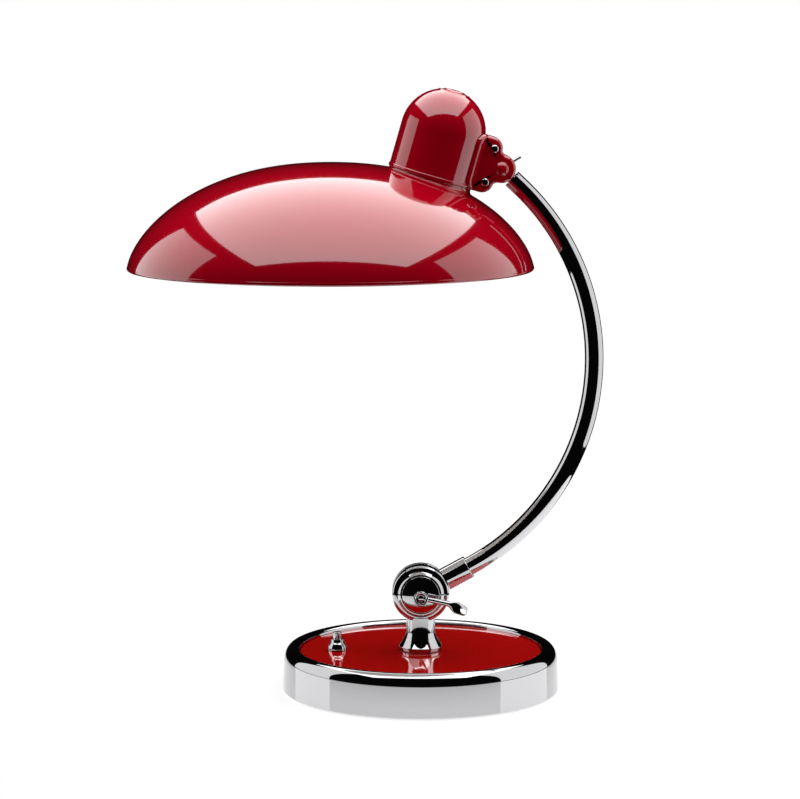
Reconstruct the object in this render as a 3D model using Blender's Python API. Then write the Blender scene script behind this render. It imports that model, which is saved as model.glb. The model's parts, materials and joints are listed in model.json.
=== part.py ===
"""Desk lamp: a weighted base, a clamped knuckle, a bent tube arm and a wide shade on a ball joint.

Metres, +Z up. The origin is the middle of the face that the base rests on. The arm bends in the XZ
plane, so the knuckle and the ball joint tilt about the Y axis.
"""

import math

import bmesh
import bpy
from mathutils import Matrix, Vector

# ---------------------------------------------------------------- driving dimensions

GAP = 0.0003  # clearance between neighbours that touch
FIT = 0.0004  # radial clearance of a screw or a shaft in its hole

# Base
BASE_RADIUS = 0.0975
BASE_TAPER = 0.0010  # how much the wall narrows towards its top
BASE_HEIGHT = 0.0310
RIM_BAND = 0.0122  # width of the bright band around the disc, seen from above
RIM_BEAD_OUT = 0.0065  # the rounded shoulder, outwards from its crest
RIM_BEAD_DOWN = 0.0090  # and down from its crest
RIM_EDGE_PROUD = 0.0009  # the rim's inner edge stands over the disc by this much
RIM_WALL = 0.0030
RIM_STEP = 0.0012  # the step inside the rim that the bottom plate bears on
RIM_SHELF = 0.0038  # the shelf inside the rim that the disc rests on
RIM_SHELF_SHEET = 0.0020
RIM_LIFT = 0.0010  # the rim stays this far above the table
DISC_SINK = 0.0034  # the disc lies this far below the rim's crest
DISC_SHEET = 0.0020
BALLAST_CLEAR = 0.0010
PLATE_SHEET = 0.0015
PAD_SHEET = 0.0025
PAD_MARGIN = 0.0025
BASE_SCREW_COUNT = 3
BASE_SCREW_INSET = 0.0140
BASE_SCREW_RADIUS = 0.0020
BASE_SCREW_HEAD = 0.0040
BASE_SCREW_CONE = 0.0018
BASE_SCREW_LENGTH = 0.0110
BASE_SCREW_TURN = math.radians(30)
GLAND_OVER_PLATE = 0.0085
GLAND_RADIUS = 0.0050
GLAND_BORE = 0.0032
GLAND_FLANGE = 0.0068
GLAND_FLANGE_SHEET = 0.0015
GLAND_PROUD = 0.0045
GLAND_TAPER = 0.8

# Stem
STEM_RADIUS = 0.0101
STEM_FOOT_RADIUS = 0.01525
STEM_FOOT_UNDER = 0.0138
STEM_FOOT_EDGE = 0.0034  # height of the foot's widest line over the disc
STEM_WAIST = 0.0134  # height over the disc where the flare ends
STEM_FLARE = 1.4  # how hollow the flare is
STEM_OVERLAP = 0.0034  # how far the post runs up into the knuckle
STEM_SHANK = 0.0050
STEM_SHANK_LENGTH = 0.0190
STEM_BORE = 0.0026
STEM_POCKET_RADIUS = 0.0130
STEM_POCKET_DEPTH = 0.0100
STEM_NUT_RADIUS = 0.0090
STEM_NUT_HEIGHT = 0.0040
STEM_WASHER_RADIUS = 0.0110
STEM_WASHER_SHEET = 0.0012
LEAD_GROOVE = 0.0060

# Switch
SWITCH_INSET = 0.0261  # distance of the switch from the edge of the disc
SWITCH_COLLAR_FOOT = 0.0068
SWITCH_COLLAR_TOP = 0.00465
SWITCH_COLLAR_HEIGHT = 0.0079
SWITCH_COLLAR_LIP = 0.0012
SWITCH_THREAD_WALL = 0.0006
SWITCH_BUTTON_RADIUS = 0.00305
SWITCH_BUTTON_PROUD = 0.0050
SWITCH_BUTTON_DEPTH = 0.0060
SWITCH_BUTTON_ROUND = 0.0008
SWITCH_TRAVEL = 0.0030
SWITCH_BODY_RADIUS = 0.0080
SWITCH_BODY_HEIGHT = 0.0110
SWITCH_POCKET = 0.0100

# Knuckle
KNUCKLE_OVER_DISC = 0.0414
KNUCKLE_RADIUS = 0.0200
KNUCKLE_WIDTH = 0.0180
KNUCKLE_ROUND = 0.0020
TONGUE_WIDTH = 0.0060
TONGUE_NECK = 0.0120
TONGUE_NECK_INSET = 0.00006  # keeps the neck's faces off the tongue's
SADDLE = 0.0006  # clearance between the ferrule's hollow end and the fork
FRICTION_SHEET = 0.0006
FRICTION_RADIUS = 0.0150
BOLT_RADIUS = 0.0030
BOLT_HEAD_RADIUS = 0.0105
BOLT_HEAD_HEIGHT = 0.0022
BOLT_HEAD_TAPER = 0.8
BOLT_SINK = 0.0010
RING_RADIUS = 0.0162
RING_HEIGHT = 0.0016
DISH_RADIUS = 0.01325
DISH_HEIGHT = 0.0032
DISH_EDGE = 0.0012
LEVER_HUB_RADIUS = 0.00525
LEVER_HUB_LENGTH = 0.0120
LEVER_HUB_ROUND = 0.0007
LEVER_FROM_FRONT = 0.0036  # the arm of the lever lies this far behind the hub's front face
LEVER_ARM_LENGTH = 0.0190
LEVER_ARM_ANGLE = math.radians(-12)
LEVER_ARM_WIDTH = 0.0036
LEVER_ARM_DEPTH = 0.0044
LEVER_PADDLE_LENGTH = 0.0150
LEVER_PADDLE_ANGLE = math.radians(-25)
LEVER_PADDLE_WIDTH = 0.0090
LEVER_PADDLE_SHEET = 0.0020
LEVER_TWIST = math.radians(-55)
LEVER_ARM_START = 0.7  # the arm starts inside the hub, at this share of its radius
LEVER_TAPER_FROM = 0.7  # share of the paddle's length where it starts to narrow
LEVER_TAPER = 0.45

# Arm
ARM_RISE = math.radians(28.5)
ARM_STRAIGHT = 0.0385
ARM_BEND_RADIUS = 0.1665
ARM_SWEEP = math.radians(108.2)
ARM_TAIL = 0.0180  # straight length from the bend to the middle of the ball
TUBE_RADIUS = 0.0065
TUBE_WALL = 0.0010
FERRULE_RADIUS = 0.00815
FERRULE_SOCKET = 0.0080  # how deep the tube goes into the ferrule
FERRULE_ROUND = 0.0006
LEAD_RADIUS = 0.0022
TUBE_END_GAP = 0.0103  # from the ball's middle to the tube's mouth
BUSH_LENGTH = 0.0100
STUD_PAST_BUSH = 0.0016  # how far the stud goes on past the bush
BALL_RADIUS = 0.0080
BALL_ROOM = 0.00045  # clearance round the ball
BALL_SHANK_RADIUS = 0.0036

# Neck and shade
NECK_TILT = math.radians(16)
NECK_RADIUS = 0.0295
NECK_WALL = 0.0012
CAP_STRAIGHT = 0.0330
CAP_LIP = 0.0006
CAP_LIP_HEIGHT = 0.0024
BALL_OUT = 0.0458  # from the neck's axis to the ball
BALL_UP = 0.0195  # from the seam to the ball, along the neck's axis
SHADE_RADIUS = 0.1413
SHADE_HEIGHT = 0.0742
SHADE_WALL = 0.0012
SHADE_RIM_BEAD = 0.0022
SHADE_POWER_UP = 1.6
SHADE_POWER_OUT = 2.2
NECK_OFFSET_SHARE = 0.487  # shade's axis to the middle of the seam, as a share of the radius
COLLAR_STAND = 0.0004  # how far the middle of the seam lies under the shade's own curve
COLLAR_REACH = 0.0200
NECK_RING_REACH = 0.0100  # how far the neck ring goes past the seam on each side
NECK_RING_WALL = 0.0012

# Bracket
BRACKET_HALF_WIDTH = 0.0110
BRACKET_HALF_LENGTH = 0.0196
BRACKET_SPLIT = 0.0004
BRACKET_ROUND = 0.0026
BRACKET_FLANGE_SHEET = 0.0024
BRACKET_FLANGE_HALF = 0.0180
BRACKET_NOSE = 0.0098
BRACKET_SHOULDER = 0.0078
BRACKET_SCREW_BACK = 0.0087  # from the ball back to the screws
BRACKET_SCREW_SPREAD = 0.0119
BRACKET_LOBE_BACK = 0.0020  # the lobes' middles lie this far behind the screws
BRACKET_SCREW_RADIUS = 0.0016
BRACKET_SCREW_HEAD = 0.0028
BRACKET_HEAD_HEIGHT = 0.0016
BRACKET_HEAD_SLOT = 0.0007
BRACKET_NUT_RADIUS = 0.0032
BRACKET_NUT_HEIGHT = 0.0022
BRACKET_BULGE = 0.0062
BRACKET_BULGE_PROUD = 0.0022
BRACKET_CHEEK_CLEAR = 0.0006
SHADE_NOSE_DOWN = math.radians(12)
SHADE_NOSE_UP = math.radians(22)
TENSION_RADIUS = 0.0010
TENSION_REACH = 0.0155
TENSION_ANGLE = math.radians(47)
FLANGE_SCREW_RADIUS = 0.0016
FLANGE_SCREW_HEAD = 0.0030
FLANGE_SCREW_HEAD_HEIGHT = 0.0016
FLANGE_SCREW_LENGTH = 0.0065
FLANGE_SCREW_SIDE = 0.0065

# Lamp holder and bulb
BRIDGE_SHEET = 0.0012
BRIDGE_WIDTH = 0.0140
BRIDGE_UP = 0.0290
BRIDGE_EAR = 0.0080
NIPPLE_RADIUS = 0.0050
NIPPLE_BORE = 0.0034
NIPPLE_BELOW = 0.0070
NIPPLE_ABOVE = 0.0045
HOLDER_NUT_RADIUS = 0.0080
HOLDER_NUT_HEIGHT = 0.0030
HOLDER_RADIUS = 0.0190
HOLDER_LENGTH = 0.0330
HOLDER_BORE_DEPTH = 0.0240
HOLDER_ROUND = 0.0015
SHELL_SHEET = 0.0005
BULB_CAP_RADIUS = 0.0132
BULB_CAP_LENGTH = 0.0220
BULB_RADIUS = 0.0225
BULB_LENGTH = 0.0490
BULB_NECK = 0.0125

# How many sides round pieces have
FINE = 44
ROUND = 26
SMALL = 14
TINY = 12

# ---------------------------------------------------------------- places worked out from them

NECK_OFFSET = SHADE_RADIUS * NECK_OFFSET_SHARE
FRONT = Vector((0, -1, 0))
DISC_RADIUS = BASE_RADIUS - RIM_BAND - GAP
DISC_TOP = BASE_HEIGHT - DISC_SINK
DISC_UNDER = DISC_TOP - DISC_SHEET
SHELF_RADIUS = DISC_RADIUS - RIM_SHELF
PLATE_UNDER = PAD_SHEET + GAP
PLATE_TOP = PLATE_UNDER + PLATE_SHEET
BALLAST_RADIUS = SHELF_RADIUS - GAP
BALLAST_TOP = DISC_UNDER - GAP
BALLAST_UNDER = PLATE_TOP + BALLAST_CLEAR
SWITCH_OUT = DISC_RADIUS - SWITCH_INSET
GLAND_HEIGHT = PLATE_TOP + GLAND_OVER_PLATE
FORK_INSIDE = TONGUE_WIDTH / 2 + FRICTION_SHEET + 2 * GAP
FORK_SLOT_RADIUS = KNUCKLE_RADIUS + GAP
KNUCKLE_FACE = KNUCKLE_WIDTH / 2
LEVER_FOOT = KNUCKLE_FACE + DISH_HEIGHT + 2 * GAP
LEVER_FACE = LEVER_FOOT + LEVER_HUB_LENGTH

KNUCKLE = Vector((0, 0, DISC_TOP + KNUCKLE_OVER_DISC))
BEND_START = KNUCKLE + Vector((math.cos(ARM_RISE), 0, math.sin(ARM_RISE))) * ARM_STRAIGHT
BEND_CENTRE = BEND_START + Vector((-math.sin(ARM_RISE), 0, math.cos(ARM_RISE))) * ARM_BEND_RADIUS
BEND_END_ANGLE = ARM_RISE + ARM_SWEEP
ARM_UP = Vector((math.cos(BEND_END_ANGLE), 0, math.sin(BEND_END_ANGLE)))
BEND_END = BEND_CENTRE + Vector((ARM_UP.z, 0, -ARM_UP.x)) * ARM_BEND_RADIUS
BALL = BEND_END + ARM_UP * ARM_TAIL
NECK_AXIS = Vector((math.sin(NECK_TILT), 0, math.cos(NECK_TILT)))
NECK_OUT = Vector((math.cos(NECK_TILT), 0, -math.sin(NECK_TILT)))
SEAM = BALL - NECK_OUT * BALL_OUT - NECK_AXIS * BALL_UP
CAP_INSIDE = NECK_RADIUS - NECK_WALL
HOLDER_TOP = BRIDGE_UP - GAP
HOLDER_MOUTH = HOLDER_TOP - HOLDER_LENGTH
SHELL_RADIUS = BULB_CAP_RADIUS + FIT + SHELL_SHEET
BULB_CAP_TOP = HOLDER_MOUTH + HOLDER_BORE_DEPTH - 2 * GAP - SHELL_SHEET


def shade_curve(radius, height, angle):
    """A point (radius, height) of the shade's superellipse: its rim at angle 0, its top at 90 degrees."""
    out = radius * math.cos(angle) ** (2 / SHADE_POWER_OUT)
    up = height * math.sin(angle) ** (2 / SHADE_POWER_UP)
    return out, up


def shade_height_at(radius):
    """Height of the shade's outer curve over its rim, this far from its axis."""
    share = 1 - (radius / SHADE_RADIUS) ** SHADE_POWER_OUT
    return SHADE_HEIGHT * share ** (1 / SHADE_POWER_UP)


RIM = SEAM - Vector((NECK_OFFSET, 0, shade_height_at(NECK_OFFSET) - COLLAR_STAND))

# ---------------------------------------------------------------- finishes

FINISHES = {  # linear colour, roughness, metallic
    "lacquer": ((0.36, 0.004, 0.012), 0.15, 0.0),
    "chrome": ((0.80, 0.80, 0.82), 0.08, 1.0),
    "zinc": ((0.55, 0.55, 0.53), 0.35, 1.0),
    "iron": ((0.06, 0.06, 0.06), 0.70, 0.6),
    "rubber": ((0.02, 0.02, 0.02), 0.80, 0.0),
    "brass": ((0.70, 0.50, 0.22), 0.25, 1.0),
    "fibre": ((0.20, 0.08, 0.04), 0.80, 0.0),
    "black": ((0.02, 0.02, 0.02), 0.40, 0.0),
    "porcelain": ((0.85, 0.83, 0.78), 0.20, 0.0),
    "opal": ((0.90, 0.90, 0.88), 0.35, 0.0),
}

# ---------------------------------------------------------------- helpers


def clear_scene():
    for obj in list(bpy.data.objects):
        bpy.data.objects.remove(obj, do_unlink=True)


def frame_matrix(origin, x_axis, z_axis):
    """A place whose local X and Z point along the given directions."""
    y_axis = z_axis.cross(x_axis)
    turn = Matrix((x_axis, y_axis, z_axis)).transposed().to_4x4()
    return Matrix.Translation(origin) @ turn


def empty(name, place, parent=None):
    """An empty at a world place; the pieces parented to it use its local axes."""
    obj = bpy.data.objects.new(name, None)
    bpy.context.scene.collection.objects.link(obj)
    obj["place"] = [value for row in place for value in row]
    obj.parent = parent
    obj.matrix_basis = place if parent is None else place_of(parent).inverted() @ place
    return obj


def place_of(obj):
    values = list(obj["place"])
    return Matrix([values[4 * row : 4 * row + 4] for row in range(4)])


def link(name, mesh, parent, at, turn):
    obj = bpy.data.objects.new(name, mesh)
    bpy.context.scene.collection.objects.link(obj)
    obj.parent = parent
    obj.location = at
    obj.rotation_euler = turn
    return obj


def piece(name, mesh, finish, parent, at=(0, 0, 0), turn=(0, 0, 0)):
    """A part of the lamp, with a material of its own."""
    obj = link(name, mesh, parent, at, turn)
    colour, roughness, metallic = FINISHES[finish]
    material = bpy.data.materials.new(f"{name}_{finish}")
    material.use_nodes = True
    shader = material.node_tree.nodes["Principled BSDF"]
    shader.inputs["Base Color"].default_value = (*colour, 1)
    shader.inputs["Roughness"].default_value = roughness
    shader.inputs["Metallic"].default_value = metallic
    mesh.materials.append(material)
    return obj


def cutter(name, mesh, parent, at=(0, 0, 0), turn=(0, 0, 0)):
    """A helper solid for a Boolean, which is no part of the lamp."""
    obj = link(name, mesh, parent, at, turn)
    obj.hide_render = True
    obj.display_type = "WIRE"
    return obj


def boolean(obj, other, operation):
    modifier = obj.modifiers.new(f"{operation.lower()}_{other.name}", "BOOLEAN")
    modifier.operation = operation
    modifier.object = other


def cut(obj, *others):
    for other in others:
        boolean(obj, other, "DIFFERENCE")


def join(obj, *others):
    for other in others:
        boolean(obj, other, "UNION")


def mesh_from(name, bm):
    mesh = bpy.data.meshes.new(name)
    bmesh.ops.recalc_face_normals(bm, faces=bm.faces)
    if bm.calc_volume(signed=True) < 0:
        bmesh.ops.reverse_faces(bm, faces=bm.faces)
    bm.to_mesh(mesh)
    bm.free()
    mesh.shade_smooth()
    mesh.set_sharp_from_angle(angle=math.radians(35))
    return mesh


def arc(centre, radii, start, stop, steps):
    """Points on an ellipse round centre, from one angle in degrees to another, both ends included."""
    points = []
    for step in range(steps + 1):
        angle = math.radians(start + (stop - start) * step / steps)
        points.append((centre[0] + radii[0] * math.cos(angle), centre[1] + radii[1] * math.sin(angle)))
    return points


def turned(name, profile, sides=ROUND):
    """A profile of (radius, height) points spun round Z. With neither end on the axis it is a ring."""
    bm = bmesh.new()
    rings = []
    for radius, height in profile:
        on_axis = radius < 1e-7
        count = 1 if on_axis else sides
        ring = []
        for side in range(count):
            angle = 2 * math.pi * side / sides
            ring.append(bm.verts.new((radius * math.cos(angle), radius * math.sin(angle), height)))
        rings.append(ring)
    pairs = list(zip(rings, rings[1:]))
    if len(rings[0]) > 1 and len(rings[-1]) > 1:
        pairs.append((rings[-1], rings[0]))
    for upper, lower in pairs:
        for side in range(sides):
            after = (side + 1) % sides
            if len(upper) == 1:
                bm.faces.new((upper[0], lower[side], lower[after]))
            elif len(lower) == 1:
                bm.faces.new((upper[side], lower[0], upper[after]))
            else:
                bm.faces.new((upper[side], lower[side], lower[after], upper[after]))
    return mesh_from(name, bm)


def rod(name, radius, low, high, sides=SMALL):
    """A plain cylinder along Z."""
    return turned(name, [(0, high), (radius, high), (radius, low), (0, low)], sides)


def tube(name, outer, inner, low, high, sides=ROUND):
    """A plain ring along Z."""
    return turned(name, [(inner, high), (outer, high), (outer, low), (inner, low)], sides)


def ball(name, radius, sides=SMALL):
    return turned(name, arc((0, 0), (radius, radius), 90, -90, sides // 2), sides)


def block(name, low, high):
    bm = bmesh.new()
    bmesh.ops.create_cube(bm, size=1)
    size = [high[axis] - low[axis] for axis in range(3)]
    middle = [(high[axis] + low[axis]) / 2 for axis in range(3)]
    bmesh.ops.scale(bm, vec=size, verts=bm.verts)
    bmesh.ops.translate(bm, vec=middle, verts=bm.verts)
    return mesh_from(name, bm)


def prism(name, outline, low, high):
    """An outline of (x, y) points extruded along Z."""
    bm = bmesh.new()
    face = bm.faces.new([bm.verts.new((x, y, low)) for x, y in outline])
    made = bmesh.ops.extrude_face_region(bm, geom=[face])
    raised = [item for item in made["geom"] if isinstance(item, bmesh.types.BMVert)]
    bmesh.ops.translate(bm, vec=(0, 0, high - low), verts=raised)
    return mesh_from(name, bm)


def swept(name, rings, hollow=False):
    """Rings of points joined in order. A hollow sweep joins the last ring to the first; others get caps."""
    bm = bmesh.new()
    made = [[bm.verts.new(point) for point in ring] for ring in rings]
    pairs = list(zip(made, made[1:]))
    if hollow:
        pairs.append((made[-1], made[0]))
    else:
        bm.faces.new(made[0])
        bm.faces.new(made[-1])
    for one, other in pairs:
        for side in range(len(one)):
            after = (side + 1) % len(one)
            bm.faces.new((one[side], one[after], other[after], other[side]))
    return mesh_from(name, bm)


def hexagon(name, radius, bore, low, high):
    """A nut: a six-sided ring along Z with a round bore of the same number of sides doubled."""
    bm = bmesh.new()
    rings = []
    for reach, level in ((bore, high), (radius, high), (radius, low), (bore, low)):
        ring = []
        for side in range(TINY):
            angle = 2 * math.pi * side / TINY
            flat = reach * math.cos(math.pi / 6) / math.cos((angle % (math.pi / 3)) - math.pi / 6)
            distance = flat if reach == radius else reach
            ring.append(bm.verts.new((distance * math.cos(angle), distance * math.sin(angle), level)))
        rings.append(ring)
    for one, other in zip(rings, rings[1:] + rings[:1]):
        for side in range(TINY):
            after = (side + 1) % TINY
            bm.faces.new((one[side], other[side], other[after], one[after]))
    return mesh_from(name, bm)


def turn_to(direction):
    """The rotation that points local Z along a direction."""
    return direction.to_track_quat("Z", "X").to_euler()

# ---------------------------------------------------------------- base


def make_base(base):
    crest = BASE_RADIUS - BASE_TAPER - RIM_BEAD_OUT
    inner = DISC_RADIUS + GAP
    edge = DISC_TOP + RIM_EDGE_PROUD
    inside = BASE_RADIUS - RIM_WALL
    shelf_top = DISC_UNDER - GAP
    shelf_under = shelf_top - RIM_SHELF_SHEET
    profile = arc((crest, edge), (crest - inner, BASE_HEIGHT - edge), 180, 90, 3)
    profile += arc((crest, BASE_HEIGHT - RIM_BEAD_DOWN), (RIM_BEAD_OUT, RIM_BEAD_DOWN), 90, 0, 6)[1:]
    profile += [(BASE_RADIUS, RIM_LIFT), (inside, RIM_LIFT), (inside, PLATE_TOP + GAP)]
    profile += [(inside - RIM_STEP, PLATE_TOP + GAP), (inside - RIM_STEP, shelf_under - RIM_STEP)]
    profile += [(crest, shelf_under), (SHELF_RADIUS, shelf_under)]
    profile += [(SHELF_RADIUS, shelf_top), (inner, shelf_top)]
    rim = piece("base_rim", turned("base_rim", profile, FINE), "chrome", base)
    to_back = turn_to(Vector((0, 1, 0)))
    gland_place = (0, 0, GLAND_HEIGHT)
    gland_hole = rod("gland_hole", GLAND_RADIUS + FIT, BASE_RADIUS / 2, BASE_RADIUS * 2)
    cut(rim, cutter("cut_gland", gland_hole, base, gland_place, to_back))

    disc = piece("base_disc", rod("base_disc", DISC_RADIUS, DISC_UNDER, DISC_TOP, FINE), "lacquer", base)
    ballast_mesh = rod("ballast_plate", BALLAST_RADIUS, BALLAST_UNDER, BALLAST_TOP, FINE)
    ballast = piece("ballast_plate", ballast_mesh, "iron", base)
    plate_mesh = rod("bottom_plate", inside - GAP, PLATE_UNDER, PLATE_TOP, FINE)
    plate = piece("bottom_plate", plate_mesh, "zinc", base)
    pad_mesh = rod("foot_pad", inside - PAD_MARGIN, 0, PAD_SHEET, FINE)
    piece("foot_pad", pad_mesh, "rubber", base)

    stem_hole = cutter("cut_stem_hole", rod("stem_hole", STEM_SHANK + FIT, 0, BASE_HEIGHT), base)
    pocket_top = BALLAST_UNDER + STEM_POCKET_DEPTH
    pocket = cutter("cut_stem_pocket", rod("stem_pocket", STEM_POCKET_RADIUS, 0, pocket_top), base)
    switch_at = (-SWITCH_OUT, 0, 0)
    thread = SWITCH_BUTTON_RADIUS + FIT + SWITCH_THREAD_WALL
    switch_rod = rod("switch_hole", thread + FIT, 0, BASE_HEIGHT)
    switch_hole = cutter("cut_switch_hole", switch_rod, base, switch_at)
    pocket_rod = rod("switch_pocket", SWITCH_POCKET, 0, BASE_HEIGHT)
    switch_pocket = cutter("cut_switch_pocket", pocket_rod, base, switch_at)
    groove_top = BALLAST_UNDER + LEAD_GROOVE
    half = LEAD_GROOVE / 2
    back_groove = block("groove_back", (-half, 0, 0), (half, BASE_RADIUS, groove_top))
    to_gland = cutter("cut_groove_back", back_groove, base)
    switch_groove = block("groove_switch", (-SWITCH_OUT, -half, 0), (0, half, groove_top))
    to_switch = cutter("cut_groove_switch", switch_groove, base)
    cut(disc, stem_hole, switch_hole)
    cut(ballast, stem_hole, pocket, switch_pocket, to_gland, to_switch)

    cone_ratio = (BASE_SCREW_HEAD - BASE_SCREW_RADIUS) / BASE_SCREW_CONE
    cone_top = PLATE_UNDER + BASE_SCREW_CONE
    screw_top = PLATE_UNDER + BASE_SCREW_LENGTH
    screw_profile = [(0, screw_top), (BASE_SCREW_RADIUS, screw_top)]
    screw_profile += [(BASE_SCREW_RADIUS, cone_top), (BASE_SCREW_HEAD, PLATE_UNDER), (0, PLATE_UNDER)]
    hole_top = screw_top + 2 * GAP
    below = 4 * GAP  # the hole's cone goes on past the plate's underside
    hole_profile = [(0, hole_top), (BASE_SCREW_RADIUS + FIT, hole_top), (BASE_SCREW_RADIUS + FIT, cone_top)]
    hole_foot = BASE_SCREW_HEAD + FIT + below * cone_ratio
    hole_profile += [(hole_foot, PLATE_UNDER - below), (0, PLATE_UNDER - below)]
    for number in range(BASE_SCREW_COUNT):
        angle = BASE_SCREW_TURN + 2 * math.pi * number / BASE_SCREW_COUNT
        circle = BALLAST_RADIUS - BASE_SCREW_INSET
        at = (circle * math.cos(angle), circle * math.sin(angle), 0)
        name = f"base_screw_{number + 1}"
        piece(name, turned(name, screw_profile, SMALL), "zinc", base, at)
        hole = cutter(f"cut_{name}", turned(f"{name}_hole", hole_profile, SMALL), base, at)
        cut(plate, hole)
        cut(ballast, hole)

    wall_inside = inside - RIM_STEP
    wall_outside = BASE_RADIUS
    tail = wall_outside + GLAND_PROUD
    gland_profile = [(GLAND_BORE, tail), (GLAND_RADIUS * GLAND_TAPER, tail)]
    gland_profile += [(GLAND_FLANGE, wall_outside + 2 * GAP)]
    gland_profile += [(GLAND_RADIUS, wall_outside + 2 * GAP), (GLAND_RADIUS, wall_inside - 2 * GAP)]
    gland_profile += [(GLAND_FLANGE, wall_inside - 2 * GAP)]
    gland_profile += [(GLAND_FLANGE, wall_inside - 2 * GAP - GLAND_FLANGE_SHEET)]
    gland_profile += [(GLAND_BORE, wall_inside - 2 * GAP - GLAND_FLANGE_SHEET)]
    piece("cord_gland", turned("cord_gland", gland_profile, SMALL), "rubber", base, gland_place, to_back)


def make_stem(base):
    foot = DISC_TOP + GAP
    waist = DISC_TOP + STEM_WAIST
    widest = DISC_TOP + STEM_FOOT_EDGE
    head = KNUCKLE.z - KNUCKLE_RADIUS + STEM_OVERLAP
    soft = KNUCKLE_ROUND
    profile = [(0, head)] + arc((STEM_RADIUS - soft, head - soft), (soft, soft), 90, 0, 3)
    steps = 5
    for step in range(steps + 1):
        share = step / steps
        radius = STEM_RADIUS + (STEM_FOOT_RADIUS - STEM_RADIUS) * share**STEM_FLARE
        profile.append((radius, waist + (widest - waist) * share))
    edge_radii = (STEM_FOOT_RADIUS - STEM_FOOT_UNDER, widest - foot)
    profile += arc((STEM_FOOT_UNDER, widest), edge_radii, 0, -90, 4)[1:]
    tip = foot - STEM_SHANK_LENGTH
    profile += [(STEM_SHANK, foot), (STEM_SHANK, tip), (0, tip)]
    stem = piece("stem", turned("stem", profile, ROUND), "chrome", base)

    knuckle = empty("knuckle_axis", frame_matrix(KNUCKLE, Vector((1, 0, 0)), FRONT), base)
    drum = [(0, KNUCKLE_FACE)]
    drum += arc((KNUCKLE_RADIUS - soft, KNUCKLE_FACE - soft), (soft, soft), 90, 0, 3)
    drum += arc((KNUCKLE_RADIUS - soft, soft - KNUCKLE_FACE), (soft, soft), 0, -90, 3)
    drum += [(0, -KNUCKLE_FACE)]
    join(stem, cutter("add_fork", turned("fork", drum, FINE), knuckle))
    slot = rod("fork_slot", FORK_SLOT_RADIUS, -FORK_INSIDE, FORK_INSIDE, FINE)
    bolt_rod = rod("bolt_hole", BOLT_RADIUS + FIT, -BASE_RADIUS, BASE_RADIUS)
    bolt_hole = cutter("cut_bolt_hole", bolt_rod, knuckle)
    bore = rod("stem_bore", STEM_BORE, 0, KNUCKLE.z - KNUCKLE_RADIUS / 2)
    cut(stem, cutter("cut_fork_slot", slot, knuckle), bolt_hole)
    cut(stem, cutter("cut_stem_bore", bore, base))

    pocket_top = BALLAST_UNDER + STEM_POCKET_DEPTH
    washer_under = pocket_top - GAP - STEM_WASHER_SHEET
    washer_top = pocket_top - GAP
    washer = tube("stem_washer", STEM_WASHER_RADIUS, STEM_SHANK + FIT, washer_under, washer_top, SMALL)
    piece("stem_washer", washer, "zinc", base)
    nut_top = washer_under - GAP
    nut = hexagon("stem_nut", STEM_NUT_RADIUS, STEM_SHANK + FIT, nut_top - STEM_NUT_HEIGHT, nut_top)
    piece("stem_nut", nut, "zinc", base)
    return knuckle, bolt_hole


def make_switch(base):
    at = (-SWITCH_OUT, 0, 0)
    bore = SWITCH_BUTTON_RADIUS + FIT
    thread = bore + SWITCH_THREAD_WALL
    collar_top = DISC_TOP + SWITCH_COLLAR_HEIGHT
    thread_top = collar_top - SWITCH_COLLAR_LIP - GAP
    button_foot = collar_top - SWITCH_BUTTON_DEPTH
    bore_foot = button_foot - SWITCH_TRAVEL - 2 * GAP
    body_top = DISC_UNDER - GAP
    body = [(bore, thread_top), (thread, thread_top), (thread, body_top), (SWITCH_BODY_RADIUS, body_top)]
    body += [(SWITCH_BODY_RADIUS, body_top - SWITCH_BODY_HEIGHT), (0, body_top - SWITCH_BODY_HEIGHT)]
    body = [(0, bore_foot), (bore, bore_foot)] + body
    piece("switch_body", turned("switch_body", body, SMALL), "black", base, at)
    foot = DISC_TOP + GAP
    ogive = arc((0, foot), (SWITCH_COLLAR_FOOT, collar_top - foot), 90, 0, 8)
    ogive = [point for point in ogive if point[0] > SWITCH_COLLAR_TOP]
    collar = [(bore, collar_top), (SWITCH_COLLAR_TOP, collar_top)] + ogive
    lip_under = collar_top - SWITCH_COLLAR_LIP
    collar += [(thread + FIT, foot), (thread + FIT, lip_under), (bore, lip_under)]
    piece("switch_collar", turned("switch_collar", collar, SMALL), "chrome", base, at)
    top = SWITCH_BUTTON_PROUD + SWITCH_BUTTON_DEPTH
    soft = SWITCH_BUTTON_ROUND
    button = [(0, top)] + arc((SWITCH_BUTTON_RADIUS - soft, top - soft), (soft, soft), 90, 0, 3)
    button += [(SWITCH_BUTTON_RADIUS, 0), (0, 0)]
    button_at = (-SWITCH_OUT, 0, button_foot)
    piece("switch_button", turned("switch_button", button, SMALL), "chrome", base, button_at)

# ---------------------------------------------------------------- knuckle


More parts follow.
